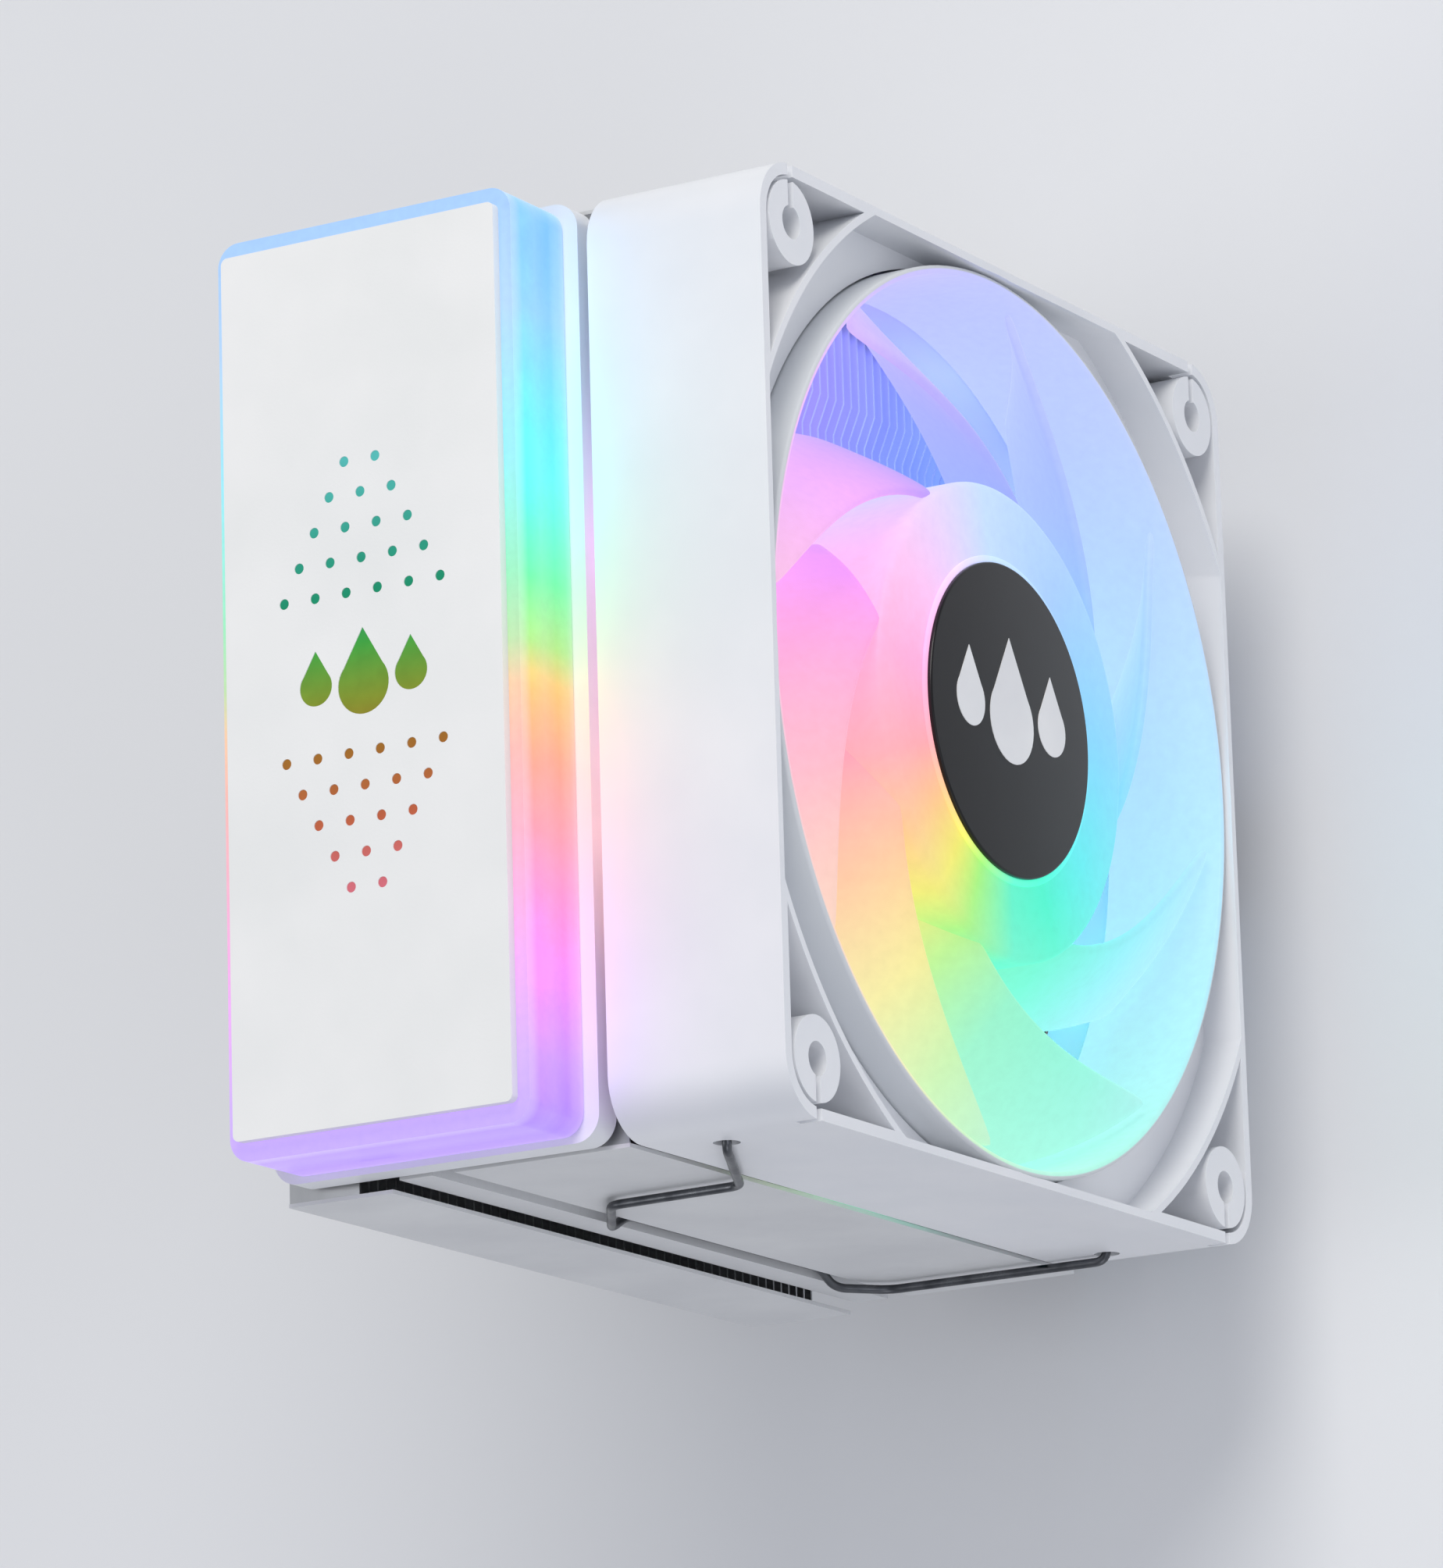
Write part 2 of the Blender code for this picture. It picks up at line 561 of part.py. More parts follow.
def captive_screw(end, x):
    """A screw that a spring holds up and a ring under the bar holds in."""
    seat = BAR_TOP - BAR_DROP
    spring_low, spring_high = seat + GAP, seat + SPRING_HEIGHT
    route = spring_route(x, spring_low + SPRING_WIRE, spring_high - SPRING_WIRE)
    part(tube(route, SPRING_WIRE, resolution=1), f"spring_{end}", BRIGHT_STEEL, smooth=True)
    place = Matrix.Translation((x, 0, 0))
    washer_low, washer_high = spring_high + GAP, spring_high + GAP + 0.6 * MM
    washer = ring(CAPTIVE_BORE, 4 * MM, washer_low, washer_high, 16, place)
    part(washer, f"washer_{end}", BRIGHT_STEEL)
    captive_screw_body(end, x, washer_high + GAP)
    under = seat - BAR_THICKNESS
    part(ring(CAPTIVE_BORE, 3.6 * MM, under - 1 * MM, under - GAP, 16, place), f"retaining_ring_{end}", STEEL)


def captive_screw_body(end, x, head):
    """The screw itself, from a tip above the board to a slotted head."""
    top, tip, head_radius, chamfer = head + 3.4 * MM, 3.4 * MM, 4.2 * MM, 0.4 * MM
    profile = [(0, top), (head_radius - chamfer, top), (head_radius, top - chamfer), (head_radius, head),
               (CAPTIVE_RADIUS, head), (CAPTIVE_RADIUS, tip + 0.8 * MM),
               (CAPTIVE_RADIUS - 0.6 * MM, tip), (0, tip)]
    screw = part(stepped_pin(profile, (x, 0, 0)), f"captive_screw_{end}", BRIGHT_STEEL, smooth=True)
    slot = box((x - 3 * MM, -0.5 * MM, top - 1.2 * MM), (x + 3 * MM, 0.5 * MM, top + MARGIN))
    combine(screw, cutter(slot, f"driver_slot_{end}"), "DIFFERENCE")


# ---- Fan frame -----------------------------------------------------------------------------

def fan_corners(distance=FAN_HOLE):
    return [(sy * distance, sz * distance) for sy in (-1, 1) for sz in (-1, 1)]


def fan_frame():
    outline = rounded_rectangle(FAN_SIZE, FAN_SIZE, 7.5 * MM)
    middle = Matrix.Translation((FAN_OUTLET + FAN_DEPTH / 2, 0, 0))
    frame = part(flat(outline, FAN_DEPTH, middle @ at_fan()), "fan_frame", WHITE)
    for item, operation in (
        (fan_bore(), "DIFFERENCE"), (mouth_recess(), "DIFFERENCE"), (corner_pockets(), "DIFFERENCE"),
        (spider(), "UNION"), (frame_holes(), "DIFFERENCE"), (clip_holes(), "DIFFERENCE"),
        (boss_slots(), "DIFFERENCE"),
    ):
        combine(frame, item, operation)


def fan_bore():
    start = (FAN_OUTLET - MARGIN, 0, FAN_Z)
    return cutter(cylinders([start], (1, 0, 0), FAN_DEPTH + 2 * MARGIN, BORE_RADIUS, 56), "fan_bore")


def mouth_recess():
    """The sunk band round the mouth. It shows in the corners, where the wall is further out."""
    start = (FAN_INTAKE - MOUTH_BAND_DEPTH, 0, FAN_Z)
    recess = cutter(cylinders([start], (1, 0, 0), MOUTH_BAND_DEPTH + MARGIN, MOUTH_BAND_RADIUS, 56),
                    "mouth_recess")
    inner = FAN_SIZE / 2 - 1.1 * MM
    limit = box((FAN_INTAKE - 10 * MM, -inner, FAN_Z - inner), (FAN_INTAKE + 9 * MM, inner, FAN_Z + inner))
    combine(recess, cutter(limit, "mouth_recess_limit"), "INTERSECT")
    return recess


def corner_pockets():
    """Pockets beside each screw boss, between the mouth's rib and the outer wall."""
    low, high = 33 * MM, FAN_SIZE / 2
    places = []
    for sy, sz in fan_corners(1):
        ys, zs = sorted((sy * low, sy * high)), sorted((FAN_Z + sz * low, FAN_Z + sz * high))
        places.append(((FAN_INTAKE - POCKET_DEPTH, ys[0], zs[0]), (FAN_INTAKE + MARGIN, ys[1], zs[1])))
    pockets = cutter(boxes(places), "corner_pockets")
    inner = FAN_SIZE - 2 * POCKET_WALL
    inside = flat(rounded_rectangle(inner, inner, 6 * MM), FAN_DEPTH * 2,
                  Matrix.Translation((FAN_INTAKE, 0, 0)) @ at_fan())
    combine(pockets, cutter(inside, "inside_outer_wall"), "INTERSECT")
    start = (FAN_OUTLET, 0, FAN_Z)
    rib = cylinders([start], (1, 0, 0), FAN_DEPTH + 4 * MM, MOUTH_BAND_RADIUS + 1 * MM, 56)
    combine(pockets, cutter(rib, "mouth_rib"), "DIFFERENCE")
    starts = [(FAN_OUTLET, y, FAN_Z + z) for y, z in fan_corners()]
    bosses = cylinders(starts, (1, 0, 0), FAN_DEPTH + 4 * MM, BOSS_RADIUS, 16)
    combine(pockets, cutter(bosses, "screw_bosses"), "DIFFERENCE")
    return pockets


def spider():
    """The motor's seat at the outlet and the four arms that hold it."""
    seat = cylinders([(FAN_OUTLET, 0, FAN_Z)], (1, 0, 0), SEAT_THICKNESS, 30 * MM, 40)
    cutter(seat, "motor_seat")
    reach, half_width = BORE_RADIUS + 3 * MM, 2.2 * MM
    for index in range(2):
        arm = box((0.1 * MM, -reach, -half_width), (2.8 * MM, reach, half_width))
        turn = Matrix.Rotation(math.radians(45 + 90 * index), 4, "X")
        arm.data.transform(Matrix.Translation((FAN_OUTLET, 0, FAN_Z)) @ turn)
        combine(seat, cutter(arm, f"arm_pair_{index}"), "UNION")
    flush = box((MOTOR_SEAT, -25 * MM, FAN_Z - 25 * MM),
                (FAN_OUTLET + 4 * MM, 25 * MM, FAN_Z + 25 * MM))
    combine(seat, cutter(flush, "motor_clearance"), "DIFFERENCE")
    return seat


def frame_holes():
    starts = [(FAN_OUTLET - MARGIN, y, FAN_Z + z) for y, z in fan_corners()]
    return cutter(cylinders(starts, (1, 0, 0), FAN_DEPTH + 2 * MARGIN, 2.15 * MM, 12), "frame_screw_holes")


def clip_holes():
    """Small blind holes in both sides, where the wire clips hook in."""
    depth = 6.5 * MM
    starts = [(CLIP_HOLE_X, -FAN_SIZE / 2 - MARGIN, z) for z in CLIP_HOLES_Z]
    starts += [(CLIP_HOLE_X, FAN_SIZE / 2 - depth, z) for z in CLIP_HOLES_Z]
    return cutter(cylinders(starts, (0, 1, 0), depth + MARGIN, 1.7 * MM, 10), "clip_holes")


def boss_slots():
    """A narrow slot from each screw hole to the side, open at the intake face."""
    half = 0.6 * MM
    places = []
    for y, z in fan_corners():
        ys = sorted((y, math.copysign(FAN_SIZE / 2 + MARGIN, y)))
        places.append(((FAN_INTAKE - 3 * MM, ys[0], FAN_Z + z - half),
                       (FAN_INTAKE + MARGIN, ys[1], FAN_Z + z + half)))
    return cutter(boxes(places), "boss_slots")


def mouth_ring():
    low, high = FAN_INTAKE - 18 * MM, FAN_INTAKE - 0.8 * MM
    item = ring(57.6 * MM, BORE_RADIUS - GAP, low, high, 56, at_fan())
    part(item, "mouth_ring", FROSTED, smooth=True)


def corner_pads():
    half = 4.5 * MM
    centres = [(y, z) for y in (-54.5 * MM, 54.5 * MM) for z in (30 * MM, 131 * MM)]
    for index, (y, z) in enumerate(centres, 1):
        pad = box((FIN_HALF_X + GAP, y - half, z - half), (FAN_OUTLET - GAP, y + half, z + half))
        part(pad, f"corner_pad_{index}", RUBBER)


# ---- Fan motor -----------------------------------------------------------------------------

def fan_motor():
    seat = MOTOR_SEAT
    board = ring(5.5 * MM, 27 * MM, seat + GAP, seat + GAP + BOARD_THICKNESS, 28, at_fan())
    part(board, "fan_circuit_board", BOARD)
    lamps = []
    for index in range(6):
        lamp = box((seat + 1 * MM, -2 * MM, 22.5 * MM), (seat + 2.9 * MM, 2 * MM, 26 * MM))
        lamp.data.transform(about_fan(60 * index))
        lamps.append(lamp)
    combine(board, cutter(joined(lamps), "board_lamps"), "UNION")
    part(turned(bearing_profile(seat + GAP), 16, at_fan()), "bearing_tube", BRASS)
    stator_core()
    stator_windings()


def bearing_profile(low):
    """Half section of the tube, wider at its foot to leave room for the shaft's clip."""
    bore, recess, outer = SHAFT_RADIUS + 0.12 * MM, 3.3 * MM, 4 * MM
    shoulder, high = 31 * MM, 44.7 * MM
    return [(bore, high), (outer, high), (outer, low), (recess, low), (recess, shoulder),
            (bore, shoulder), (bore, high)]


def about_fan(degrees):
    return Matrix.Translation((0, 0, FAN_Z)) @ Matrix.Rotation(math.radians(degrees), 4, "X")


def stator_core():
    """Four poles with broad shoes, round the bearing tube."""
    core = ring(4.3 * MM, 6.6 * MM, POLE_LOW, POLE_HIGH, 16, at_fan())
    part(core, "stator_core", STEEL)
    shoes = cutter(ring(SHOE_INNER, SHOE_OUTER, POLE_LOW, POLE_HIGH, 32, at_fan()), "pole_shoes")
    slots = []
    for pole in range(4):
        neck = box((POLE_LOW + 0.2 * MM, 6 * MM, -POLE_HALF_WIDTH),
                   (POLE_HIGH - 0.2 * MM, SHOE_INNER + 0.6 * MM, POLE_HALF_WIDTH))
        neck.data.transform(about_fan(90 * pole))
        combine(core, cutter(neck, f"pole_neck_{pole}"), "UNION")
        slot = box((POLE_LOW - MARGIN, SHOE_INNER - MARGIN, -1.6 * MM),
                   (POLE_HIGH + MARGIN, SHOE_OUTER + MARGIN, 1.6 * MM))
        slot.data.transform(about_fan(90 * pole + 45))
        slots.append(slot)
    combine(shoes, cutter(joined(slots), "shoe_gaps"), "DIFFERENCE")
    combine(core, shoes, "UNION")


def stator_windings():
    """A coil of wire on each pole, as a block with the pole's opening through it."""
    for pole in range(4):
        turn = about_fan(90 * pole)
        coil = box((POLE_LOW - 1.6 * MM, 7 * MM, -3.6 * MM), (POLE_HIGH + 1.6 * MM, 11.8 * MM, 3.6 * MM))
        coil.data.transform(turn)
        opening = box((POLE_LOW - 0.2 * MM, 6 * MM, -2 * MM), (POLE_HIGH + 0.2 * MM, 14 * MM, 2 * MM))
        opening.data.transform(turn)
        part(coil, f"winding_{pole + 1}", COPPER)
        combine(coil, cutter(opening, f"winding_opening_{pole}"), "DIFFERENCE")


def rotor_profile():
    """Half section of the hub: the cup, the ribbed seat of the yoke and the shaft's socket."""
    chamfer, rim, inside = 0.8 * MM, 32.5 * MM, HUB_FACE - HUB_WALL
    return [
        (0, HUB_FACE), (HUB_RADIUS - chamfer, HUB_FACE), (HUB_RADIUS, HUB_FACE - chamfer),
        (HUB_RADIUS, rim), (HUB_RADIUS - HUB_WALL, rim), (HUB_RADIUS - HUB_WALL, inside),
        (21.3 * MM, inside), (21.3 * MM, 36 * MM), (19.8 * MM, 36 * MM), (19.8 * MM, inside),
        (4.2 * MM, inside), (4.2 * MM, 45 * MM), (1.8 * MM, 45 * MM), (1.8 * MM, 48.8 * MM),
        (0, 48.8 * MM),
    ]


def blade_point(radius, share):
    """A point on a blade's middle surface. Share runs from its leading edge to its tail."""
    out = (radius - HUB_RADIUS) / BLADE_SPAN
    chord = ROOT_CHORD + (TIP_CHORD - ROOT_CHORD) * out
    angle = math.radians(BLADE_ROOT_ANGLE + 84 * out - 32 * out ** 2 - chord * share)
    x = 49.8 * MM - BLADE_DEPTH * share + BLADE_CAMBER * math.sin(math.pi * share)
    return (x, radius * math.cos(angle), FAN_Z + radius * math.sin(angle))


def blades():
    """Open sheets swept forward from hub to tip, thickened to both sides."""
    rows, columns = 4, 3
    root = HUB_RADIUS - 0.8 * MM
    bm = bmesh.new()
    for blade in range(BLADE_COUNT):
        turn = Matrix.Rotation(2 * math.pi * blade / BLADE_COUNT, 4, "X")
        turn = Matrix.Translation((0, 0, FAN_Z)) @ turn @ Matrix.Translation((0, 0, -FAN_Z))
        grid = []
        for row in range(rows + 1):
            radius = root + (TIP_RADIUS - root) * row / rows
            grid.append([bm.verts.new(turn @ Vector(blade_point(radius, column / columns)))
                         for column in range(columns + 1)])
        for row in range(rows):
            for column in range(columns):
                bm.faces.new((grid[row][column], grid[row][column + 1],
                              grid[row + 1][column + 1], grid[row + 1][column]))
    sheets = mesh_object(bm)
    solidify = sheets.modifiers.new("Thickness", "SOLIDIFY")
    solidify.thickness = 1.5 * MM
    solidify.offset = 0
    return cutter(sheets, "rotor_blades")


def rotor():
    hub = part(turned(rotor_profile(), 40, at_fan()), "rotor", FROSTED, smooth=True)
    combine(hub, blades(), "UNION")
    badge = cylinders([(HUB_FACE + GAP, 0, FAN_Z)], (1, 0, 0), 0.6 * MM, BADGE_RADIUS, 40)
    part(badge, "hub_badge", BLACK, smooth=True)
    part(ring(18.3 * MM, 19.5 * MM, 33.5 * MM, 48 * MM, 32, at_fan()), "yoke_ring", STEEL, smooth=True)
    part(ring(15.9 * MM, 18 * MM, 34 * MM, 46 * MM, 32, at_fan()), "magnet_ring", MAGNET, smooth=True)
    shaft = cylinders([(29.8 * MM, 0, FAN_Z)], (1, 0, 0), 18.7 * MM, SHAFT_RADIUS, 16)
    part(shaft, "shaft", BRIGHT_STEEL, smooth=True)
    part(ring(1.8 * MM, 2.9 * MM, 30.2 * MM, 30.7 * MM, 12, at_fan()), "shaft_clip", STEEL)
    for name in ("rotor", "hub_badge", "yoke_ring", "magnet_ring", "shaft", "shaft_clip"):
        set_origin(PARTS.objects[name], (FAN_OUTLET, 0, FAN_Z))


def set_origin(item, place):
    """Moves an object's origin and leaves its mesh where it is."""
    item.data.transform(Matrix.Translation(-Vector(place)))
    item.location = place


# ---- Wire clips ----------------------------------------------------------------------------

def wire_clip(name, side):
    """A spring wire that lies in the fins' groove and hooks into the fan at both ends."""
    inner_y = side * (SIDE_Y - GROOVE_DEPTH + GAP + WIRE_RADIUS)
    outer_y = side * WIRE_Y
    foot_y = side * 55.8 * MM
    high, low = CLIP_HOLES_Z
    corners = [
        (CLIP_HOLE_X, foot_y, high), (CLIP_HOLE_X, outer_y, high), (25.5 * MM, outer_y, 111 * MM),
        (6 * MM, outer_y, 110 * MM), (GROOVE_X, outer_y, 97 * MM), (GROOVE_X, inner_y, 93 * MM),
        (GROOVE_X, inner_y, 45 * MM), (GROOVE_X, outer_y, 41 * MM), (3 * MM, outer_y, 35 * MM),
        (CLIP_HOLE_X, outer_y, low), (CLIP_HOLE_X, foot_y, low),
    ]
    clip = part(tube(rounded_path(corners, 1.8 * MM, steps=2), WIRE_RADIUS), name, STEEL, smooth=True)
    set_origin(clip, (GROOVE_X, inner_y, (high + low) / 2))


def main():
    contact_plate()
    base_block()
    heat_pipes()
    fin_stack()
    cover_tray()
    tray_screws()
    light_frame()
    top_plate()
    cover_lights()
    mounting_bar()
    bar_screws()
    captive_screw("rear", -CAPTIVE_X)
    captive_screw("front", CAPTIVE_X)
    fan_frame()
    mouth_ring()
    corner_pads()
    fan_motor()
    rotor()
    wire_clip("wire_clip_lower", -1)
    wire_clip("wire_clip_upper", 1)


clear_scene()
PARTS = new_collection("tower_cooling_radiator")
CUTTERS = new_collection("cutters")
main()
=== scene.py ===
"""Looks of the tower cooling radiator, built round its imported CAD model.

Everything is in metres in the CAD frame: z = 0 is the contact face, +Z runs up the tower and
+X points out of the fan's intake. Where a piece stands comes from the CAD nodes' boxes.
"""
import math

import bmesh
import bpy
from mathutils import Matrix, Vector


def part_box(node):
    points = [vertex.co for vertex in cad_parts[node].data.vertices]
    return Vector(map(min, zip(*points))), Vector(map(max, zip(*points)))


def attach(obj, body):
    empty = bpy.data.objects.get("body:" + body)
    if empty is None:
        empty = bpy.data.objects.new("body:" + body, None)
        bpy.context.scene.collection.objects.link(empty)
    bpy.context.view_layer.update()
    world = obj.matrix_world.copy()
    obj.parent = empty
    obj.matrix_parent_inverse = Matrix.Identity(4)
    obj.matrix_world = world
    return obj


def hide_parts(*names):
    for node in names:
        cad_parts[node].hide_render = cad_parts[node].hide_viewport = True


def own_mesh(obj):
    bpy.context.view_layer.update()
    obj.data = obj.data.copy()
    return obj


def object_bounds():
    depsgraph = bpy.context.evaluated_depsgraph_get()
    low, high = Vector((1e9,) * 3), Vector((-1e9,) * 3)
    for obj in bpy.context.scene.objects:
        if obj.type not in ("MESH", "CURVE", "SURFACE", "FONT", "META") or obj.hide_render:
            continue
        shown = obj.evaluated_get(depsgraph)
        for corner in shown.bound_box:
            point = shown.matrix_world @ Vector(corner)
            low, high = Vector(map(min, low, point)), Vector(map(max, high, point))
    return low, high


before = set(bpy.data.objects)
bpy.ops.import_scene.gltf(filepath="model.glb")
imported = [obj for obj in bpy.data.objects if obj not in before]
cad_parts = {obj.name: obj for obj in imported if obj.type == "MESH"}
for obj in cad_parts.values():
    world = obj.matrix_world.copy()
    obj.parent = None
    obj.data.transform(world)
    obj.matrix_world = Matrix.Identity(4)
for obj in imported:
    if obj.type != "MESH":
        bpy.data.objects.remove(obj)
cad_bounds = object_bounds()

MM = 0.001
FAN_LOW, FAN_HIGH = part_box("fan_frame")
FAN_Z = (FAN_LOW.z + FAN_HIGH.z) / 2
FAN_SIZE = FAN_HIGH.y - FAN_LOW.y
FAN_HOLE = 52.5 * MM            # half of a 120 mm fan's hole pattern
STACK_LOW, STACK_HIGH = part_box("fin_stack")
WIRE_RADIUS = 0.6 * MM          # of the fan's clips
GLOW = 0.8                      # strength of the lit plastic
DIM = "000000"                  # a lit surface reflects little next to what it gives off

# Turns a drawing in X and Y, with its depth along Z, into one in Y and Z with its depth along X
FACING_FAN = Matrix(((0, 0, 1, 0), (1, 0, 0, 0), (0, 1, 0, 0), (0, 0, 0, 1)))
AT_FAN = Matrix.Translation((0, 0, FAN_Z)) @ FACING_FAN
# Turns a drawing in X and Y into one in X and Z
SIDE_ON = Matrix.Rotation(math.radians(90), 4, "X")


# ---- Shapes --------------------------------------------------------------------------------

def mesh_object(bm):
    mesh = bpy.data.meshes.new("shape")
    bm.to_mesh(mesh)
    bm.free()
    return bpy.data.objects.new("shape", mesh)


def boxes(places):
    """Upright boxes in one object, each from its lowest and highest corners."""
    bm = bmesh.new()
    for low, high in places:
        middle = (Vector(low) + Vector(high)) / 2
        size = Vector(high) - Vector(low)
        matrix = Matrix.Translation(middle) @ Matrix.Diagonal((*size, 1))
        bmesh.ops.create_cube(bm, size=1, matrix=matrix)
    return mesh_object(bm)


def cylinders(starts, axis, length, radius, sides):
    """Cylinders in one object, one from each start along the axis."""
    bm = bmesh.new()
    direction = Vector(axis)
    turn = direction.to_track_quat("Z", "Y").to_matrix().to_4x4()
    for start in starts:
        middle = Vector(start) + direction * (length / 2)
        bmesh.ops.create_cone(bm, cap_ends=True, segments=sides, radius1=radius, radius2=radius,
                              depth=length, matrix=Matrix.Translation(middle) @ turn)
    return mesh_object(bm)


def as_mesh(item):
    """The mesh that an object makes with its modifiers, in a new object; the old one goes."""
    if item.name not in bpy.context.scene.objects:
        bpy.context.scene.collection.objects.link(item)
    graph = bpy.context.evaluated_depsgraph_get()
    graph.update()
    mesh = bpy.data.meshes.new_from_object(item.evaluated_get(graph))
    bm = bmesh.new()
    bm.from_mesh(mesh)
    bmesh.ops.remove_doubles(bm, verts=bm.verts, dist=0.001 * MM)
    bmesh.ops.recalc_face_normals(bm, faces=bm.faces)
    bm.to_mesh(mesh)
    bm.free()
    result = bpy.data.objects.new(item.name, mesh)
    bpy.data.objects.remove(item, do_unlink=True)
    return result


def combine(target, other, operation):
    """Cuts or joins at once, and removes the other shape."""
    for item in (target, other):
        if item.name not in bpy.context.scene.objects:
            bpy.context.scene.collection.objects.link(item)
    modifier = target.modifiers.new("combine", "BOOLEAN")
    modifier.operation = operation
    modifier.object = other
    result = as_mesh(target)
    bpy.data.objects.remove(other, do_unlink=True)
    return result


def joined(items):
    """Puts several shapes into one object, and removes them."""
    bm = bmesh.new()
    for item in items:
        bm.from_mesh(item.data)
        bpy.data.objects.remove(item, do_unlink=True)
    return mesh_object(bm)


def flat(outlines, thickness, matrix):
    """A flat piece from an outline and its holes, thick to both sides of its plane."""
    curve = bpy.data.curves.new("outline", "CURVE")
    curve.dimensions = "2D"
    curve.fill_mode = "BOTH"
    curve.extrude = thickness / 2
    for outline in outlines:
        spline = curve.splines.new("POLY")
        spline.points.add(len(outline) - 1)
        for point, (x, y) in zip(spline.points, outline):
            point.co = (x, y, 0, 1)
        spline.use_cyclic_u = True
    result = as_mesh(bpy.data.objects.new("flat", curve))
    result.data.transform(matrix)
    return result


def tube(points, radius, resolution):
    """A round bar along a row of points, with closed ends."""
    curve = bpy.data.curves.new("tube", "CURVE")
    curve.dimensions = "3D"
    curve.bevel_depth = radius
    curve.bevel_resolution = resolution
    curve.use_fill_caps = True
    spline = curve.splines.new("POLY")
    spline.points.add(len(points) - 1)
    for point, place in zip(spline.points, points):
        point.co = (*place, 1)
    return as_mesh(bpy.data.objects.new("tube", curve))


def turned(profile, steps, matrix):
    """A turned shape from a closed or axis-to-axis profile of radius and height."""
    mesh = bpy.data.meshes.new("turned")
    edges = [(index, index + 1) for index in range(len(profile) - 1)]
    mesh.from_pydata([(radius, 0, height) for radius, height in profile], edges, [])
    item = bpy.data.objects.new("turned", mesh)
    screw = item.modifiers.new("Screw", "SCREW")
    screw.steps = steps
    screw.render_steps = steps
    screw.use_merge_vertices = True
    screw.merge_threshold = 0.005 * MM
    result = as_mesh(item)
    result.data.transform(matrix)
    return result


def arc(centre, radius, start, end, steps):
    """Points on a circle between two angles in degrees."""
    points = []
    for step in range(steps + 1):
        angle = math.radians(start + (end - start) * step / steps)
        points.append((centre[0] + radius * math.cos(angle), centre[1] + radius * math.sin(angle)))
    return points


def rounded_rectangle(size_x, size_y, radius, steps=10):
    points = []
    for quarter, (side_x, side_y) in enumerate(((1, 1), (-1, 1), (-1, -1), (1, -1))):
        centre = (side_x * (size_x / 2 - radius), side_y * (size_y / 2 - radius))
        points += arc(centre, radius, quarter * 90, quarter * 90 + 90, steps)
    return points


def rounded_ring(inner, outer, low, high, edge, matrix, steps=160):
    """A ring with every edge rounded."""
    profile = []
    corners = ((outer - edge, high - edge, 90, 0), (outer - edge, low + edge, 0, -90),
               (inner + edge, low + edge, -90, -180), (inner + edge, high - edge, -180, -270))
    for radius, height, start, end in corners:
        profile += arc((radius, height), edge, start, end, 3)
    return turned(profile + profile[:1], steps, matrix)


def rounded_path(corners, radius):
    """A row of points from corner to corner, where each bend starts that radius from its corner."""
    steps = 8
    points = [Vector(corners[0])]
    for before, corner, after in zip(corners, corners[1:], corners[2:]):
        corner = Vector(corner)
        start = corner + (Vector(before) - corner).normalized() * radius
        end = corner + (Vector(after) - corner).normalized() * radius
        for step in range(steps + 1):
            share = step / steps
            points.append(start * (1 - share) ** 2 + corner * 2 * share * (1 - share)
                          + end * share ** 2)
    points.append(Vector(corners[-1]))
    return points


def mirrored(points):
    """The same outline on the other side of the X axis."""
    return [(x, -y) for x, y in reversed(points)]


def soften(item, width, segments=2, angle=35):
    """Rounds the edges where faces meet at more than the angle, in degrees."""
    bevel = item.modifiers.new("Rounded edges", "BEVEL")
    bevel.width = width
    bevel.segments = segments
    bevel.limit_method = "ANGLE"
    bevel.angle_limit = math.radians(angle)
    bevel.harden_normals = True


def piece(item, name, body, look, stands_for=(), rounding=0):
    """Names and dresses a shape, and says which body it rides on and which nodes it replaces."""
    item.name = name
    item.data.name = name
    if name not in bpy.context.scene.objects:
        bpy.context.scene.collection.objects.link(item)
    item.data.materials.clear()
    item.data.materials.append(look)
    item.data.shade_smooth()
    item.data.set_sharp_from_angle(angle=math.radians(35))
    if rounding:
        soften(item, rounding)
    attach(item, body)
    if stands_for:
        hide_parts(*stands_for)


# ---- Materials -----------------------------------------------------------------------------

def colour(code):
    """A linear colour with alpha from a web colour such as 8FC4FF."""
    parts = [int(code[start:start + 2], 16) / 255 for start in (0, 2, 4)]
    return (*[part / 12.92 if part <= 0.04045 else ((part + 0.055) / 1.055) ** 2.4
              for part in parts], 1)


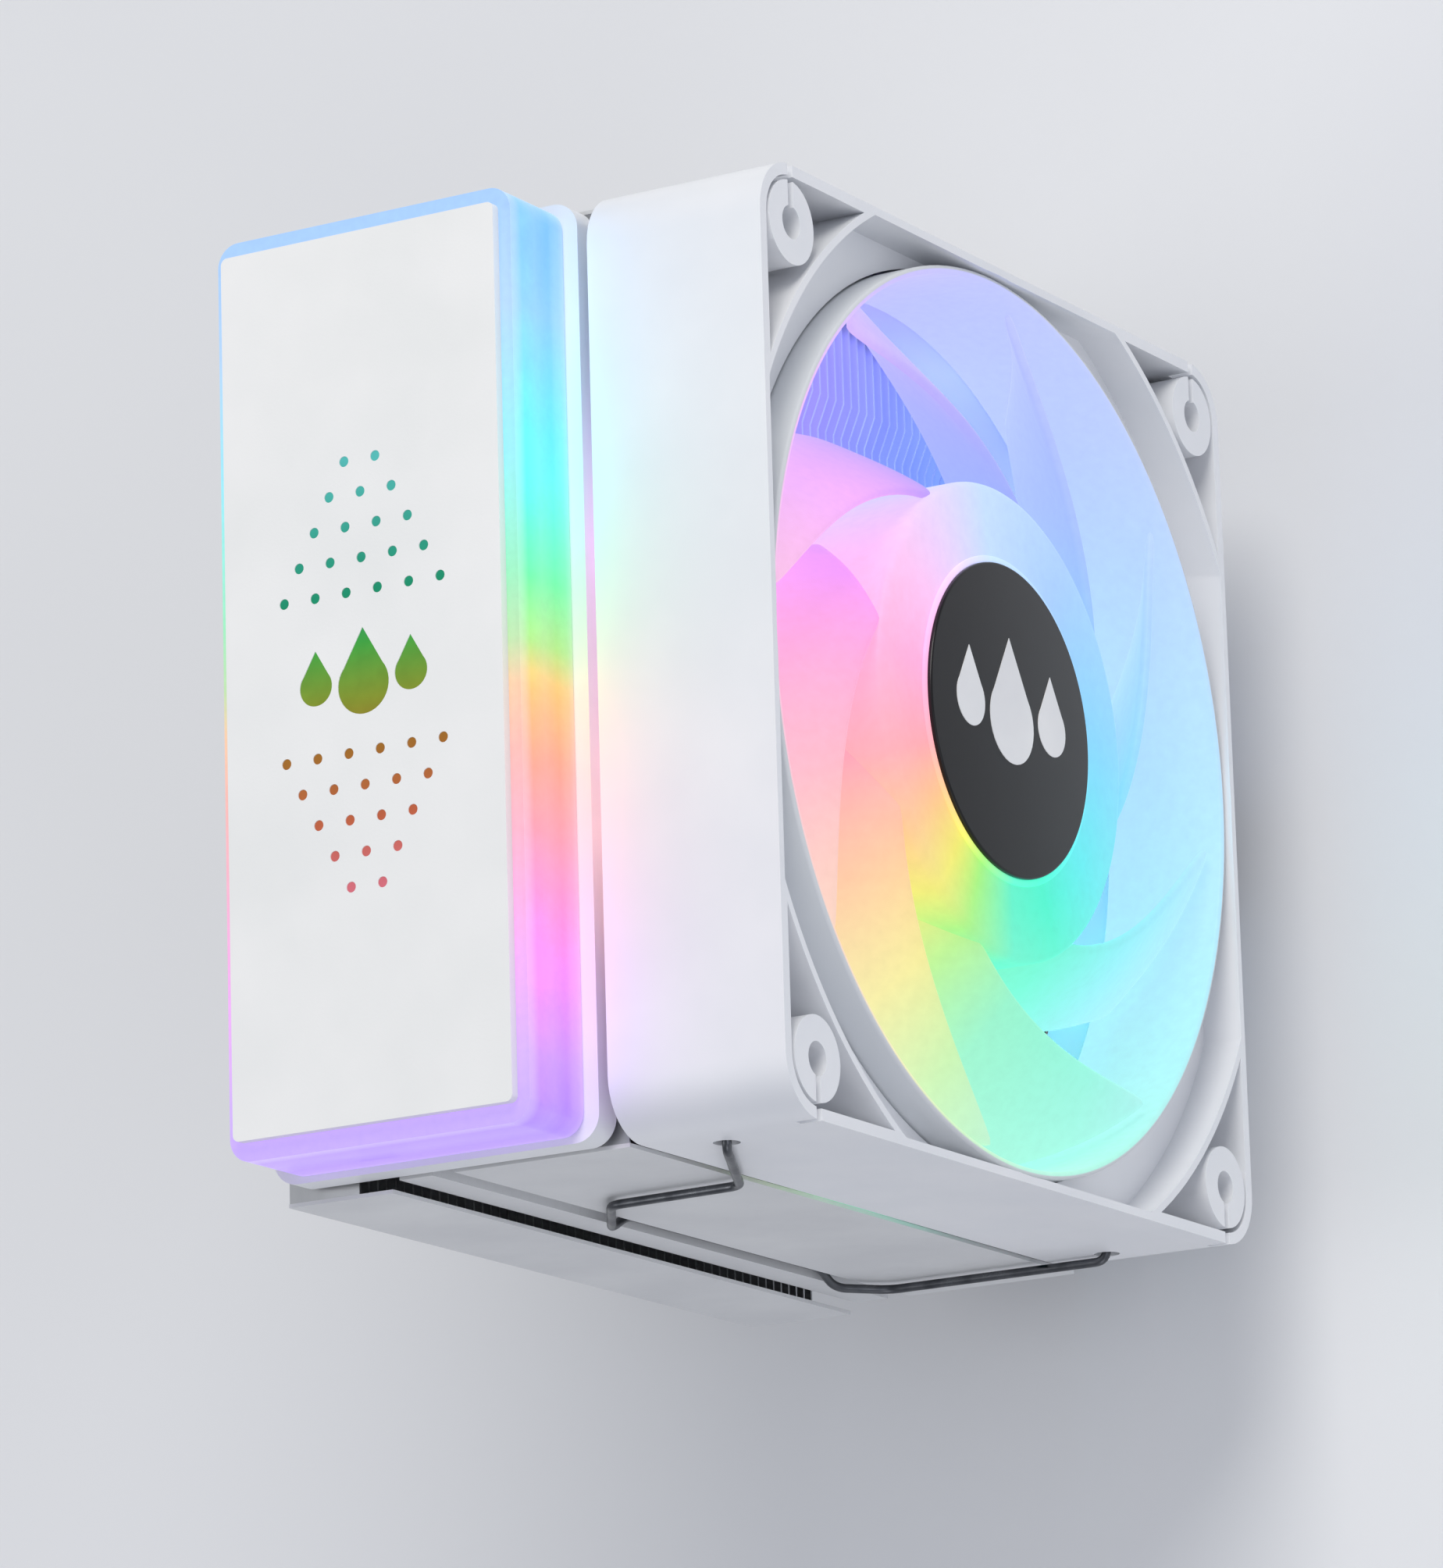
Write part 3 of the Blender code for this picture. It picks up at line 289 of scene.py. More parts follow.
class Look:
    """A Principled material, with helpers that add nodes in front of its shader."""

    def __init__(self, name, **values):
        self.material = bpy.data.materials.new(name)
        self.material.use_nodes = True
        self.tree = self.material.node_tree
        self.shader = self.tree.nodes["Principled BSDF"]
        for key, value in values.items():
            self.socket(key).default_value = value

    def socket(self, key):
        return self.shader.inputs[key.replace("_", " ").title().replace("Ior", "IOR")]

    def add(self, kind, **inputs):
        node = self.tree.nodes.new(kind)
        for key, value in inputs.items():
            node.inputs[key.replace("_", " ")].default_value = value
        return node

    def link(self, source, target):
        self.tree.links.new(source, target)

    def place(self, stretch=(1, 1, 1)):
        """The point on the piece in its own frame, stretched for grain that has a direction."""
        where = self.tree.nodes.new("ShaderNodeTexCoord").outputs["Object"]
        mapping = self.add("ShaderNodeMapping", Scale=stretch)
        self.link(where, mapping.inputs["Vector"])
        return mapping.outputs["Vector"]

    def noise(self, scale, detail, stretch=(1, 1, 1)):
        node = self.add("ShaderNodeTexNoise", Scale=scale, Detail=detail)
        self.link(self.place(stretch), node.inputs["Vector"])
        return node.outputs["Fac"]

    def remap(self, value, low, high, to_low=0.0, to_high=1.0):
        node = self.add("ShaderNodeMapRange", From_Min=low, From_Max=high, To_Min=to_low,
                        To_Max=to_high)
        self.link(value, node.inputs["Value"])
        return node.outputs["Result"]

    def maths(self, operation, first, second=None):
        node = self.tree.nodes.new("ShaderNodeMath")
        node.operation = operation
        for socket, value in zip(node.inputs, (first, second)):
            if value is None:
                continue
            if isinstance(value, (int, float)):
                socket.default_value = value
            else:
                self.link(value, socket)
        return node.outputs[0]

    def ramp(self, factor, stops):
        """Colours along a factor: stops are pairs of a place and a web colour."""
        node = self.tree.nodes.new("ShaderNodeValToRGB")
        elements = node.color_ramp.elements
        while len(elements) < len(stops):
            elements.new(0.5)
        for element, (place, code) in zip(elements, stops):
            element.position = place
            element.color = colour(code)
        self.link(factor, node.inputs["Fac"])
        return node.outputs["Color"]

    def blend(self, factor, first, second):
        """Mixes two colours; either may be a socket or a web colour."""
        node = self.tree.nodes.new("ShaderNodeMix")
        node.data_type = "RGBA"
        self.link(factor, node.inputs[0])
        for socket, value in ((node.inputs[6], first), (node.inputs[7], second)):
            if isinstance(value, str):
                socket.default_value = colour(value)
            else:
                self.link(value, socket)
        return node.outputs[2]

    def bump(self, height, depth, strength=0.5):
        node = self.add("ShaderNodeBump", Strength=strength, Distance=depth)
        self.link(height, node.inputs["Height"])
        self.link(node.outputs["Normal"], self.shader.inputs["Normal"])

    def paint(self, output):
        self.link(output, self.shader.inputs["Base Color"])

    def shine(self, output):
        self.link(output, self.shader.inputs["Roughness"])

    def lit(self, output):
        self.link(output, self.shader.inputs["Emission Color"])


def grainy(name, code, other, roughness, grain, depth, **values):
    """A surface with fine grain, where colour and roughness drift a little."""
    look = Look(name, **values)
    drift = look.noise(60, 3)
    look.paint(look.ramp(drift, ((0.3, code), (0.7, other))))
    look.shine(look.remap(drift, 0.3, 0.7, roughness - 0.05, roughness + 0.05))
    look.bump(look.noise(grain, 2), depth)
    return look.material


def drawn_metal(name, code, other, roughness, stretch):
    """Metal with fine lines along the direction it was rolled, drawn or milled."""
    look = Look(name, metallic=1.0)
    lines = look.noise(60, 4, stretch)
    look.paint(look.ramp(lines, ((0.3, code), (0.7, other))))
    look.shine(look.remap(lines, 0.3, 0.7, roughness - 0.08, roughness + 0.1))
    look.bump(lines, 0.01 * MM, 0.4)
    return look.material


def along_cover(look):
    """The point's axes, and its place along the cover: 0 at the +Y end, 1 at the -Y end."""
    axes = look.tree.nodes.new("ShaderNodeSeparateXYZ")
    look.link(look.place(), axes.inputs[0])
    low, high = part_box("light_frame")
    return axes, look.remap(axes.outputs["Y"], high.y, low.y)


RAINBOW = ((0.0, "74C0FF"), (0.13, "8FD0FF"), (0.26, "5CEEFF"), (0.34, "50F8DC"), (0.42, "5CF49C"),
           (0.49, "A6E676"), (0.54, "FFC268"), (0.61, "FFA584"), (0.69, "FF9AAC"), (0.78, "FF90DE"),
           (0.85, "F090FF"), (0.93, "CC96FF"), (1.0, "B088FF"))


def lit_frame_look():
    """Frosted plastic, lit from inside: brightest half way down its wall, pale at its rim."""
    look = Look("frosted_cover", roughness=0.28, emission_strength=GLOW, coat_weight=0.25)
    axes, along = along_cover(look)
    hue = look.ramp(along, RAINBOW)
    low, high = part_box("light_frame")
    down = look.remap(axes.outputs["Z"], high.z, low.z)
    paleness = look.ramp(down, ((0.0, "989898"), (0.1, "808080"), (0.2, "303030"), (0.45, "585858"),
                                (0.7, "202020"), (0.9, "606060"), (1.0, "909090")))
    light = look.blend(paleness, hue, "EEE6FF")
    look.lit(light)
    look.paint(look.blend(look.remap(look.noise(900, 2), 0.2, 0.8, 0.68, 0.76), light, DIM))
    look.bump(look.noise(2500, 2), 0.004 * MM)
    return look.material


def dot_light_look():
    """The sheet that shines through the top plate, in deeper hues than the frame round it."""
    look = Look("dot_light", roughness=0.6, emission_strength=0.75, specular_ior_level=0.1)
    _, along = along_cover(look)
    hue = look.ramp(along, ((0.27, "5CC8C4"), (0.36, "35A890"), (0.42, "1F9870"), (0.47, "46AE48"),
                            (0.53, "8C9C34"), (0.58, "A8722C"), (0.66, "CC6A4A"), (0.75, "E87A90")))
    look.lit(hue)
    look.paint(look.blend(look.remap(look.noise(400, 2), 0.2, 0.8, 0.8, 0.95), hue, DIM))
    return look.material


# Hues round the fan, on the blades and the hub, and of the fan's light painted on the fins: 0 is
# towards -Y, 0.25 is upwards
WHEEL = ((0.0, "84F4C4"), (0.05, "B8F488"), (0.09, "F4EA74"), (0.14, "FFC48C"), (0.2, "FFA4B4"),
         (0.27, "FF9ADC"), (0.34, "F298FF"), (0.42, "B092FF"), (0.5, "9CA6FF"), (0.6, "96B6FF"),
         (0.7, "88CEFF"), (0.78, "7CE0FF"), (0.86, "70EEF0"), (0.93, "64F8D4"), (1.0, "84F4C4"))
HUB_WHEEL = ((0.0, "64F4CC"), (0.06, "A8F480"), (0.1, "F2EC70"), (0.15, "FFC890"), (0.2, "FFACB4"),
             (0.27, "FFB0DC"), (0.34, "FFC4F4"), (0.41, "E8D4FF"), (0.48, "C4DEFF"), (0.6, "A8CEFF"),
             (0.74, "88D8FF"), (0.86, "66EEF0"), (0.94, "50F6D0"), (1.0, "64F4CC"))
# Painted light: the hues that the fan's glow is painted in on the fins' edges
FIN_PAINTED_LIGHT_WHEEL = ((0.0, "4CD8A0"), (0.1, "E0D060"), (0.2, "FF90A8"), (0.33, "E484F8"), (0.42, "A87CF4"),
             (0.5, "8C84F4"), (0.56, "7484F4"), (0.75, "60A8F4"), (0.9, "48D8C8"), (1.0, "4CD8A0"))


def around_fan(look, wheel):
    """The point's axes, its distance from the fan's axis, and its hue on a wheel of light."""
    axes = look.tree.nodes.new("ShaderNodeSeparateXYZ")
    look.link(look.place(), axes.inputs[0])
    across, up = axes.outputs["Y"], look.maths("SUBTRACT", axes.outputs["Z"], FAN_Z)
    angle = look.maths("ARCTAN2", up, look.maths("MULTIPLY", across, -1.0))
    turn = look.maths("FRACT", look.maths("ADD", look.maths("DIVIDE", angle, 2 * math.pi), 1.0))
    squares = look.maths("ADD", look.maths("POWER", across, 2), look.maths("POWER", up, 2))
    return axes, look.maths("SQRT", squares), look.ramp(turn, wheel)


def lit_fan_look(name, wheel, paleness, strength, unlit_beyond=None):
    """Frosted plastic round the fan, its hue by angle and paler towards the blade tips.

    Beyond the radius called unlit_beyond it is plain white plastic.
    """
    look = Look(name, roughness=0.5, emission_strength=strength, specular_ior_level=0.2)
    _, radius, hue = around_fan(look, wheel)
    fade = look.remap(radius, 24 * MM, 58 * MM, 0.0, paleness)
    light = look.blend(fade, hue, "F2F4FF")
    darker = look.blend(look.remap(look.noise(700, 2), 0.2, 0.8, 0.7, 0.78), light, DIM)
    if unlit_beyond:
        outside = look.remap(radius, unlit_beyond - 0.2 * MM, unlit_beyond)
        light, darker = look.blend(outside, light, DIM), look.blend(outside, darker, "DCDFE2")
    look.lit(light)
    look.paint(darker)
    look.bump(look.noise(2200, 2), 0.004 * MM)
    return look.material


def fin_painted_light_look():
    """Rolled sheet, with the fan's light painted on its edges behind the rotor as a glow."""
    look = Look("fin_sheet", metallic=1.0, emission_strength=0.7)
    lines = look.noise(60, 4, (4, 0.5, 4))
    look.paint(look.ramp(lines, ((0.3, "C9CACB"), (0.7, "B9BBBD"))))
    look.shine(look.remap(lines, 0.3, 0.7, 0.3, 0.48))
    look.bump(lines, 0.01 * MM, 0.4)
    axes, radius, hue = around_fan(look, FIN_PAINTED_LIGHT_WHEEL)
    # Painted light: the fins' front edges inside the bore glow in the fan's hues, standing for the
    # light that the rotor throws on them
    near = look.remap(axes.outputs["X"], STACK_HIGH.x - 16 * MM, STACK_HIGH.x - 4 * MM)
    inside = look.remap(radius, 61 * MM, 58 * MM)
    look.lit(look.blend(look.maths("MULTIPLY", near, inside), DIM, hue))
    return look.material


def board_look():
    """White solder mask with copper runs that show through as faint raised lines."""
    look = Look("circuit_board", roughness=0.4)
    runs = look.add("ShaderNodeTexBrick", Scale=180.0)
    look.link(look.place(), runs.inputs["Vector"])
    look.paint(look.ramp(runs.outputs["Fac"], ((0.0, "E4E6DF"), (1.0, "C9C5A8"))))
    look.bump(runs.outputs["Fac"], 0.03 * MM)
    return look.material


def wound_look():
    """Lacquered copper wire, laid turn by turn."""
    look = Look("winding_wire", metallic=1.0, roughness=0.3)
    wires = look.add("ShaderNodeTexWave", Scale=900.0, Distortion=0.4)
    look.link(look.place(), wires.inputs["Vector"])
    look.paint(look.ramp(wires.outputs["Fac"], ((0.0, "8A4A24"), (1.0, "D98A55"))))
    look.bump(wires.outputs["Fac"], 0.1 * MM)
    return look.material


def badge_look():
    """Polished black, with a faint drift in its gloss as on a lacquered label."""
    look = Look("black_badge", roughness=0.3, specular_ior_level=0.3, coat_weight=0.08)
    drift = look.noise(50, 3)
    look.paint(look.ramp(drift, ((0.3, "08080A"), (0.7, "101012"))))
    look.bump(look.noise(3000, 2), 0.002 * MM)
    return look.material


LOOKS = {
    "white_paint": grainy("white_paint", "EEEFF2", "E6E8EC", 0.42, 1800, 0.02 * MM, coat_weight=0.1),
    "plate": grainy("white_plate", "F3F3F2", "ECEDEC", 0.5, 2600, 0.03 * MM),
    "shroud": grainy("white_shroud", "F0F1F4", "E9EBEF", 0.36, 1500, 0.01 * MM, coat_weight=0.15),
    "fins": fin_painted_light_look(),
    "fin_sides": grainy("fin_side_sheet", "DEDFE0", "D5D6D8", 0.5, 1500, 0.01 * MM, metallic=0.1),
    "milled": drawn_metal("milled_block", "C4C6C8", "AEB1B4", 0.28, (0.5, 8, 8)),
    "copper": drawn_metal("machined_copper", "D99A72", "C27C55", 0.26, (0.5, 10, 10)),
    "nickel": drawn_metal("nickel_plate", "C6C2BB", "B4B0A9", 0.2, (5, 5, 0.6)),
    "bright": drawn_metal("zinc_steel", "C2C5C9", "9FA3A8", 0.3, (3, 3, 3)),
    "dark": drawn_metal("dark_wire", "6A6C70", "4A4C50", 0.32, (6, 6, 1)),
    "brass": drawn_metal("turned_brass", "D7B263", "B8924A", 0.3, (2, 2, 8)),
    "rubber": grainy("soft_rubber", "C8CACE", "B9BBC0", 0.8, 1200, 0.05 * MM),
    "ferrite": grainy("ferrite", "2A2A2E", "38383C", 0.75, 3000, 0.04 * MM),
    "lamp": grainy("lamp_lens", "F4EEC6", "E8DE9A", 0.25, 900, 0.01 * MM, coat_weight=0.6),
    "mark": grainy("printed_mark", "F4F4F4", "E8E8EA", 0.45, 2500, 0.004 * MM),
    "frame_light": lit_frame_look(),
    "dot_light": dot_light_look(),
    "hub": lit_fan_look("frosted_hub", HUB_WHEEL, 0.3, GLOW),
    "blades": lit_fan_look("frosted_blades", WHEEL, 0.4, GLOW),
    "duct": lit_fan_look("frosted_duct", WHEEL, 0.4, GLOW, unlit_beyond=58.3 * MM),
    "badge_rim": lit_fan_look("lit_badge_rim", HUB_WHEEL, 0.0, GLOW * 1.2),
    "board": board_look(),
    "winding": wound_look(),
    "badge": badge_look(),
}


# ---- Cover ---------------------------------------------------------------------------------

DOT_RADIUS, DOT_PITCH, DOT_ROW, FIRST_ROW_Y = 0.68 * MM, 4.6 * MM, 4.2 * MM, 10.2 * MM
MOST_DOTS, DOT_ROWS = 6, 5
LEDGE_OPENING = (35 * MM, 109 * MM)


def dot_places():
    """Two triangles of dots that point away from the middle, with rows of six to two."""
    places = []
    for side in (-1, 1):
        for row in range(DOT_ROWS):
            count = MOST_DOTS - row
            y = side * (FIRST_ROW_Y + row * DOT_ROW)
            places += [((column - (count - 1) / 2) * DOT_PITCH, y) for column in range(count)]
    return places


def drop_outline(x, height):
    """A water drop, pointed at the top, standing on its round end."""
    radius = height * 0.34
    return arc((x, -height / 2 + radius), radius, -220, 40, 28) + [(x, height / 2)]


def drops(smaller=0):
    """The mark's outlines: three drops, the middle one taller."""
    places = ((-7 * MM, 7 * MM), (0, 11 * MM), (7 * MM, 7 * MM))
    return [drop_outline(x, height - smaller) for x, height in places]


def top_plate():
    """The white plate, cut through for the dots and the mark."""
    low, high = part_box("top_plate")
    middle = (low + high) / 2
    outlines = [rounded_rectangle(high.x - low.x, high.y - low.y, 0.9 * MM)]
    outlines += [arc(place, DOT_RADIUS, 0, 345, 23) for place in dot_places()] + drops()
    plate = flat(outlines, high.z - low.z, Matrix.Translation((0, 0, middle.z)))
    piece(plate, "cover_top_plate", "root", LOOKS["plate"], ["top_plate"], 0.18 * MM)


def dot_light():
    """The lit sheet, with a low boss in each opening of the top plate."""
    low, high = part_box("pattern_diffuser")
    _, plate_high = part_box("top_plate")
    middle = (low + high) / 2
    outline = rounded_rectangle(high.x - low.x, high.y - low.y, 1 * MM, 4)
    sheet = flat([outline], high.z - low.z, Matrix.Translation(middle))
    sink, clear = 0.12 * MM, 0.03 * MM
    root = high.z - 0.2 * MM
    height = plate_high.z - sink - root
    starts = [(x, y, root) for x, y in dot_places()]
    bosses = cylinders(starts, (0, 0, 1), height, DOT_RADIUS - clear, 24)
    at = Matrix.Translation((0, 0, root + height / 2))
    lit_drops = [flat([outline], height, at) for outline in drops(2 * clear)]
    piece(joined([sheet, bosses] + lit_drops), "dot_light_sheet", "root",
          LOOKS["dot_light"], ["pattern_diffuser"])


def light_frame():
    """A frosted shell, open below, with a ledge inside its rim that the top plate covers."""
    low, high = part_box("light_frame")
    size_x, size_y, height = high.x - low.x, high.y - low.y, high.z - low.z
    middle = Matrix.Translation((0, 0, (low.z + high.z) / 2))
    corner, wall, ledge, above = 3 * MM, 1.8 * MM, 1.5 * MM, 4 * MM
    shell = flat([rounded_rectangle(size_x, size_y, corner)], height, middle)
    hollow = flat([rounded_rectangle(size_x - 2 * wall, size_y - 2 * wall, 1.4 * MM)], height,
                  Matrix.Translation((0, 0, (low.z + high.z) / 2 - ledge)))
    shell = combine(shell, hollow, "DIFFERENCE")
    opening = flat([rounded_rectangle(*LEDGE_OPENING, 1 * MM)], height, middle)
    opening.data.transform(Matrix.Translation((0, 0, above)))
    shell = combine(shell, opening, "DIFFERENCE")
    piece(shell, "cover_light_frame", "root", LOOKS["frame_light"],
          ["light_frame"])
    soften(shell, 0.9 * MM, segments=4, angle=50)


def cover_tray():
    """A shallow tray, upside down over the top fin."""
    low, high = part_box("cover_tray")
    size_x, size_y, height = high.x - low.x, high.y - low.y, high.z - low.z
    middle = (low.z + high.z) / 2
    tray = flat([rounded_rectangle(size_x, size_y, 3.5 * MM)], height,
                Matrix.Translation((0, 0, middle)))
    wall, sheet = 1.4 * MM, 1.6 * MM
    hollow = flat([rounded_rectangle(size_x - 2 * wall, size_y - 2 * wall, 2.1 * MM)], height,
                  Matrix.Translation((0, 0, middle - sheet)))
    piece(combine(tray, hollow, "DIFFERENCE"), "cover_base_tray", "root",
          LOOKS["white_paint"], ["cover_tray"], 0.35 * MM)


# ---- Fin stack, pipes and base -------------------------------------------------------------

FIN_PITCH, FIN_SHEET, FOLD = 2 * MM, 0.35 * MM, 0.5 * MM
SIDE_Y = 59.8 * MM
PROUD_Y = STACK_HIGH.y
SLIT_X = (-9.5 * MM, -8.5 * MM)
GROOVE_X, GROOVE_WIDTH, GROOVE_DEPTH = -2 * MM, 3.2 * MM, 2 * MM


def fin_outline():
    """One fin from above, cut back in front of the fan and notched behind each side's slit."""
    inset = 0.1 * MM                # keeps each edge inside the folded edge that covers it
    front, back = STACK_HIGH.x - inset, STACK_LOW.x + inset
    near, proud = SIDE_Y - inset, PROUD_Y - inset
    left, right = GROOVE_X - GROOVE_WIDTH / 2 - inset, GROOVE_X + GROOVE_WIDTH / 2 + inset
    cutback, notch, notch_back = 1.7 * MM, 7 * MM, SLIT_X[0] - 5 * MM
    slit = SLIT_X[1] + inset
    half = [(front - cutback, 0), (front - cutback, 44 * MM), (front, 48 * MM), (front, near),
            (right, near), (right, near - GROOVE_DEPTH), (left, near - GROOVE_DEPTH), (left, near),
            (slit, near), (slit, near - notch), (notch_back, near - notch),
            (notch_back, proud), (back, proud)]
    return half + mirrored(half)[:-1]


def fold_outlines():
    """The folded edges of one fin, which close the stack's sides: beside the fan, and behind."""
    low, high = SIDE_Y - FOLD, SIDE_Y
    left, right = GROOVE_X - GROOVE_WIDTH / 2, GROOVE_X + GROOVE_WIDTH / 2
    near = [(STACK_HIGH.x, low), (STACK_HIGH.x, high), (right, high), (right, high - GROOVE_DEPTH),
            (left, high - GROOVE_DEPTH), (left, high), (SLIT_X[1], high), (SLIT_X[1], low),
            (left - FOLD, low), (left - FOLD, low - GROOVE_DEPTH),
            (right + FOLD, low - GROOVE_DEPTH), (right + FOLD, low)]
    behind = [(SLIT_X[0], PROUD_Y - FOLD), (SLIT_X[0], PROUD_Y), (STACK_LOW.x, PROUD_Y),
              (STACK_LOW.x, PROUD_Y - FOLD)]
    return near, behind


def repeat_upwards(item, count):
    array = item.modifiers.new("Fins", "ARRAY")
    array.count = count
    array.use_relative_offset = False
    array.use_constant_offset = True
    array.constant_offset_displace = (0, 0, FIN_PITCH)


def fin_stack():
    """The fins, and the folded edges that close the stack's two sides."""
    count = int((STACK_HIGH.z - STACK_LOW.z) / FIN_PITCH)
    first = STACK_LOW.z + FIN_PITCH
    below = 0.06 * MM               # how far each sheet lies below the edge of its folded sides
    fin = flat([fin_outline()], FIN_SHEET, Matrix.Translation((0, 0, first - FIN_SHEET / 2 - below)))
    repeat_upwards(fin, count)
    piece(fin, "fin_sheets", "root", LOOKS["fins"], ["fin_stack"])
    seam = 0.02 * MM
    height = FIN_PITCH - seam
    at = Matrix.Translation((0, 0, first - height / 2))
    folds = []
    for outline in fold_outlines():
        folds += [flat([outline], height, at), flat([mirrored(outline)], height, at)]
    sides = joined(folds)
    repeat_upwards(sides, count)
    piece(sides, "fin_folded_sides", "root", LOOKS["fin_sides"], ["fin_stack"])


def heat_pipes():
    """Four bent pipes, each up through the fins on one side, under them, and up the other."""
    for index in range(1, 5):
        node = f"heat_pipe_{index}"
        low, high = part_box(node)
        radius = (high.x - low.x) / 2
        x, leg_y, run_z = (low.x + high.x) / 2, high.y - radius, low.z + radius
        bend = 14 * MM
        side = [(leg_y, high.z - radius / 2)] + arc((leg_y - bend, run_z + bend), bend, 0, -90, 20)
        other = [(-y, z) for y, z in reversed(side)]
        pipe = tube([(x, y, z) for y, z in side + other], radius, 8)
        piece(pipe, f"pipe_{index}", "root", LOOKS["nickel"], [node])


def base_block():
    """The block on the contact plate, with a channel over each pipe."""
    low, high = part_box("base_block")
    pipe_low, pipe_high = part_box("heat_pipe_1")
    radius = (pipe_high.x - pipe_low.x) / 2
    run_z = pipe_low.z + radius
    outline = [(high.x, high.z), (low.x, high.z), (low.x, low.z)]
    for index in range(1, 5):
        pipe_low, pipe_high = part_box(f"heat_pipe_{index}")
        x = (pipe_low.x + pipe_high.x) / 2
        wide = radius + 0.3 * MM    # the channel's radius
        outline += [(x - wide, low.z)] + arc((x, run_z), wide, 180, 0, 20) + [(x + wide, low.z)]
    outline.append((high.x, low.z))
    block = flat([outline], high.y - low.y, SIDE_ON)
    piece(block, "base_pipe_block", "root", LOOKS["milled"], ["base_block"], 0.4 * MM)


def contact_plate():
    """The copper plate, with its upright edges and its rims rounded."""
    low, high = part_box("contact_plate")
    rounding = 0.3 * MM
    outline = rounded_rectangle(high.x - low.x, high.y - low.y, 2 * rounding, 5)
    plate = flat([outline], high.z - low.z, Matrix.Translation((low + high) / 2))
    piece(plate, "base_contact_plate", "root", LOOKS["copper"], ["contact_plate"], rounding)


# ---- Captive screws ------------------------------------------------------------------------

SHANK_RADIUS, WASHER_BORE, HEAD_GAP = 1.9 * MM, 2.2 * MM, 0.3 * MM
THREAD_PITCH, THREAD_DEPTH, THREAD_LENGTH, TIP_LENGTH = 0.5 * MM, 0.25 * MM, 6 * MM, 0.8 * MM
CROSS_LENGTH, CROSS_WIDTH, CROSS_DEPTH = 2.6 * MM, 0.45 * MM, 1.6 * MM  # length and width from middle


def screw_profile(tip, top, head):
    """A threaded shank under a round head with a soft rim."""
    profile = [(0, top), (3.6 * MM, top), (4.0 * MM, top - 0.15 * MM), (4.2 * MM, top - 0.5 * MM),
               (4.2 * MM, head + 0.2 * MM), (4.0 * MM, head), (SHANK_RADIUS, head)]
    height = tip + THREAD_LENGTH
    profile.append((SHANK_RADIUS, height))
    while height - THREAD_PITCH > tip + TIP_LENGTH:
        profile += [(SHANK_RADIUS - THREAD_DEPTH, height - THREAD_PITCH / 2),
                    (SHANK_RADIUS, height - THREAD_PITCH)]
        height -= THREAD_PITCH
    return profile + [(SHANK_RADIUS - 0.6 * MM, tip), (0, tip)]


def captive_screw(end):
    """One screw with a cross in its head, and its washer, retaining ring and spring."""
    low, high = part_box(f"captive_screw_{end}")
    x, top = (low.x + high.x) / 2, high.z
    washer_low, washer_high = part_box(f"washer_{end}")
    place = Matrix.Translation((x, 0, 0))
    screw = turned(screw_profile(low.z, top, washer_high.z + HEAD_GAP), 48, place)
    for arm_x, arm_y in ((CROSS_LENGTH, CROSS_WIDTH), (CROSS_WIDTH, CROSS_LENGTH)):
        arm = boxes([((x - arm_x, -arm_y, top - CROSS_DEPTH), (x + arm_x, arm_y, top + 1 * MM))])
        screw = combine(screw, arm, "DIFFERENCE")
    piece(screw, f"screw_{end}", f"screw_{end}", LOOKS["bright"],
          [f"captive_screw_{end}"])
    washer = rounded_ring(WASHER_BORE, (washer_high.x - washer_low.x) / 2, washer_low.z,
                          washer_high.z, 0.15 * MM, place, 48)
    piece(washer, f"screw_washer_{end}", f"washer_{end}", LOOKS["bright"],
          [f"washer_{end}"])
    clip_low, clip_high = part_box(f"retaining_ring_{end}")
    ring = rounded_ring(SHANK_RADIUS, (clip_high.x - clip_low.x) / 2, clip_low.z, clip_high.z,
                        0.12 * MM, place, 40)
    piece(ring, f"screw_ring_{end}", f"screw_{end}", LOOKS["dark"],
          [f"retaining_ring_{end}"])
    screw_spring(end, x)


def screw_spring(end, x):
    """A coil spring, wound a little closer towards its two ends."""
    low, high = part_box(f"spring_{end}")
    wire, turns, steps = 0.45 * MM, 4, 28
    radius = (high.x - low.x) / 2 - wire
    first, last = low.z + wire, high.z - wire
    route = []
    for step in range(turns * steps + 1):
        share = step / (turns * steps)
        angle = 2 * math.pi * turns * share
        closed = share * share * (3 - 2 * share)
        height = first + (last - first) * (0.7 * share + 0.3 * closed)
        route.append((x + radius * math.cos(angle), radius * math.sin(angle), height))
    spring = tube(route, wire, 4)
    piece(spring, f"screw_spring_{end}", "root", LOOKS["bright"], [f"spring_{end}"])
    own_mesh(spring)


# ---- Fan -----------------------------------------------------------------------------------

INTAKE, OUTLET = FAN_HIGH.x, FAN_LOW.x
AT_INTAKE = Matrix.Translation((INTAKE, 0, 0)) @ AT_FAN
BORE_RADIUS = 59 * MM
RECESS_DEPTH, RIB_RADIUS = 5.5 * MM, 66.8 * MM
SHROUD_RADIUS = 7.5 * MM        # of the shroud's four long edges
SCREW_HOLE_RADIUS, BOSS_RADIUS = 2.15 * MM, 5.4 * MM
SEAT_RADIUS, SEAT_THICKNESS, ARM_HALF_WIDTH = 30 * MM, 2.1 * MM, 2.2 * MM
CLEAR = 1 * MM                  # how far a cutter stands past the faces that it cuts through
THROUGH = 30 * MM               # longer than the fan is deep
ROUND = 160                     # sides of a large circle


def fan_corners(distance=FAN_HOLE):
    return [(sy * distance, sz * distance) for sy in (-1, 1) for sz in (-1, 1)]


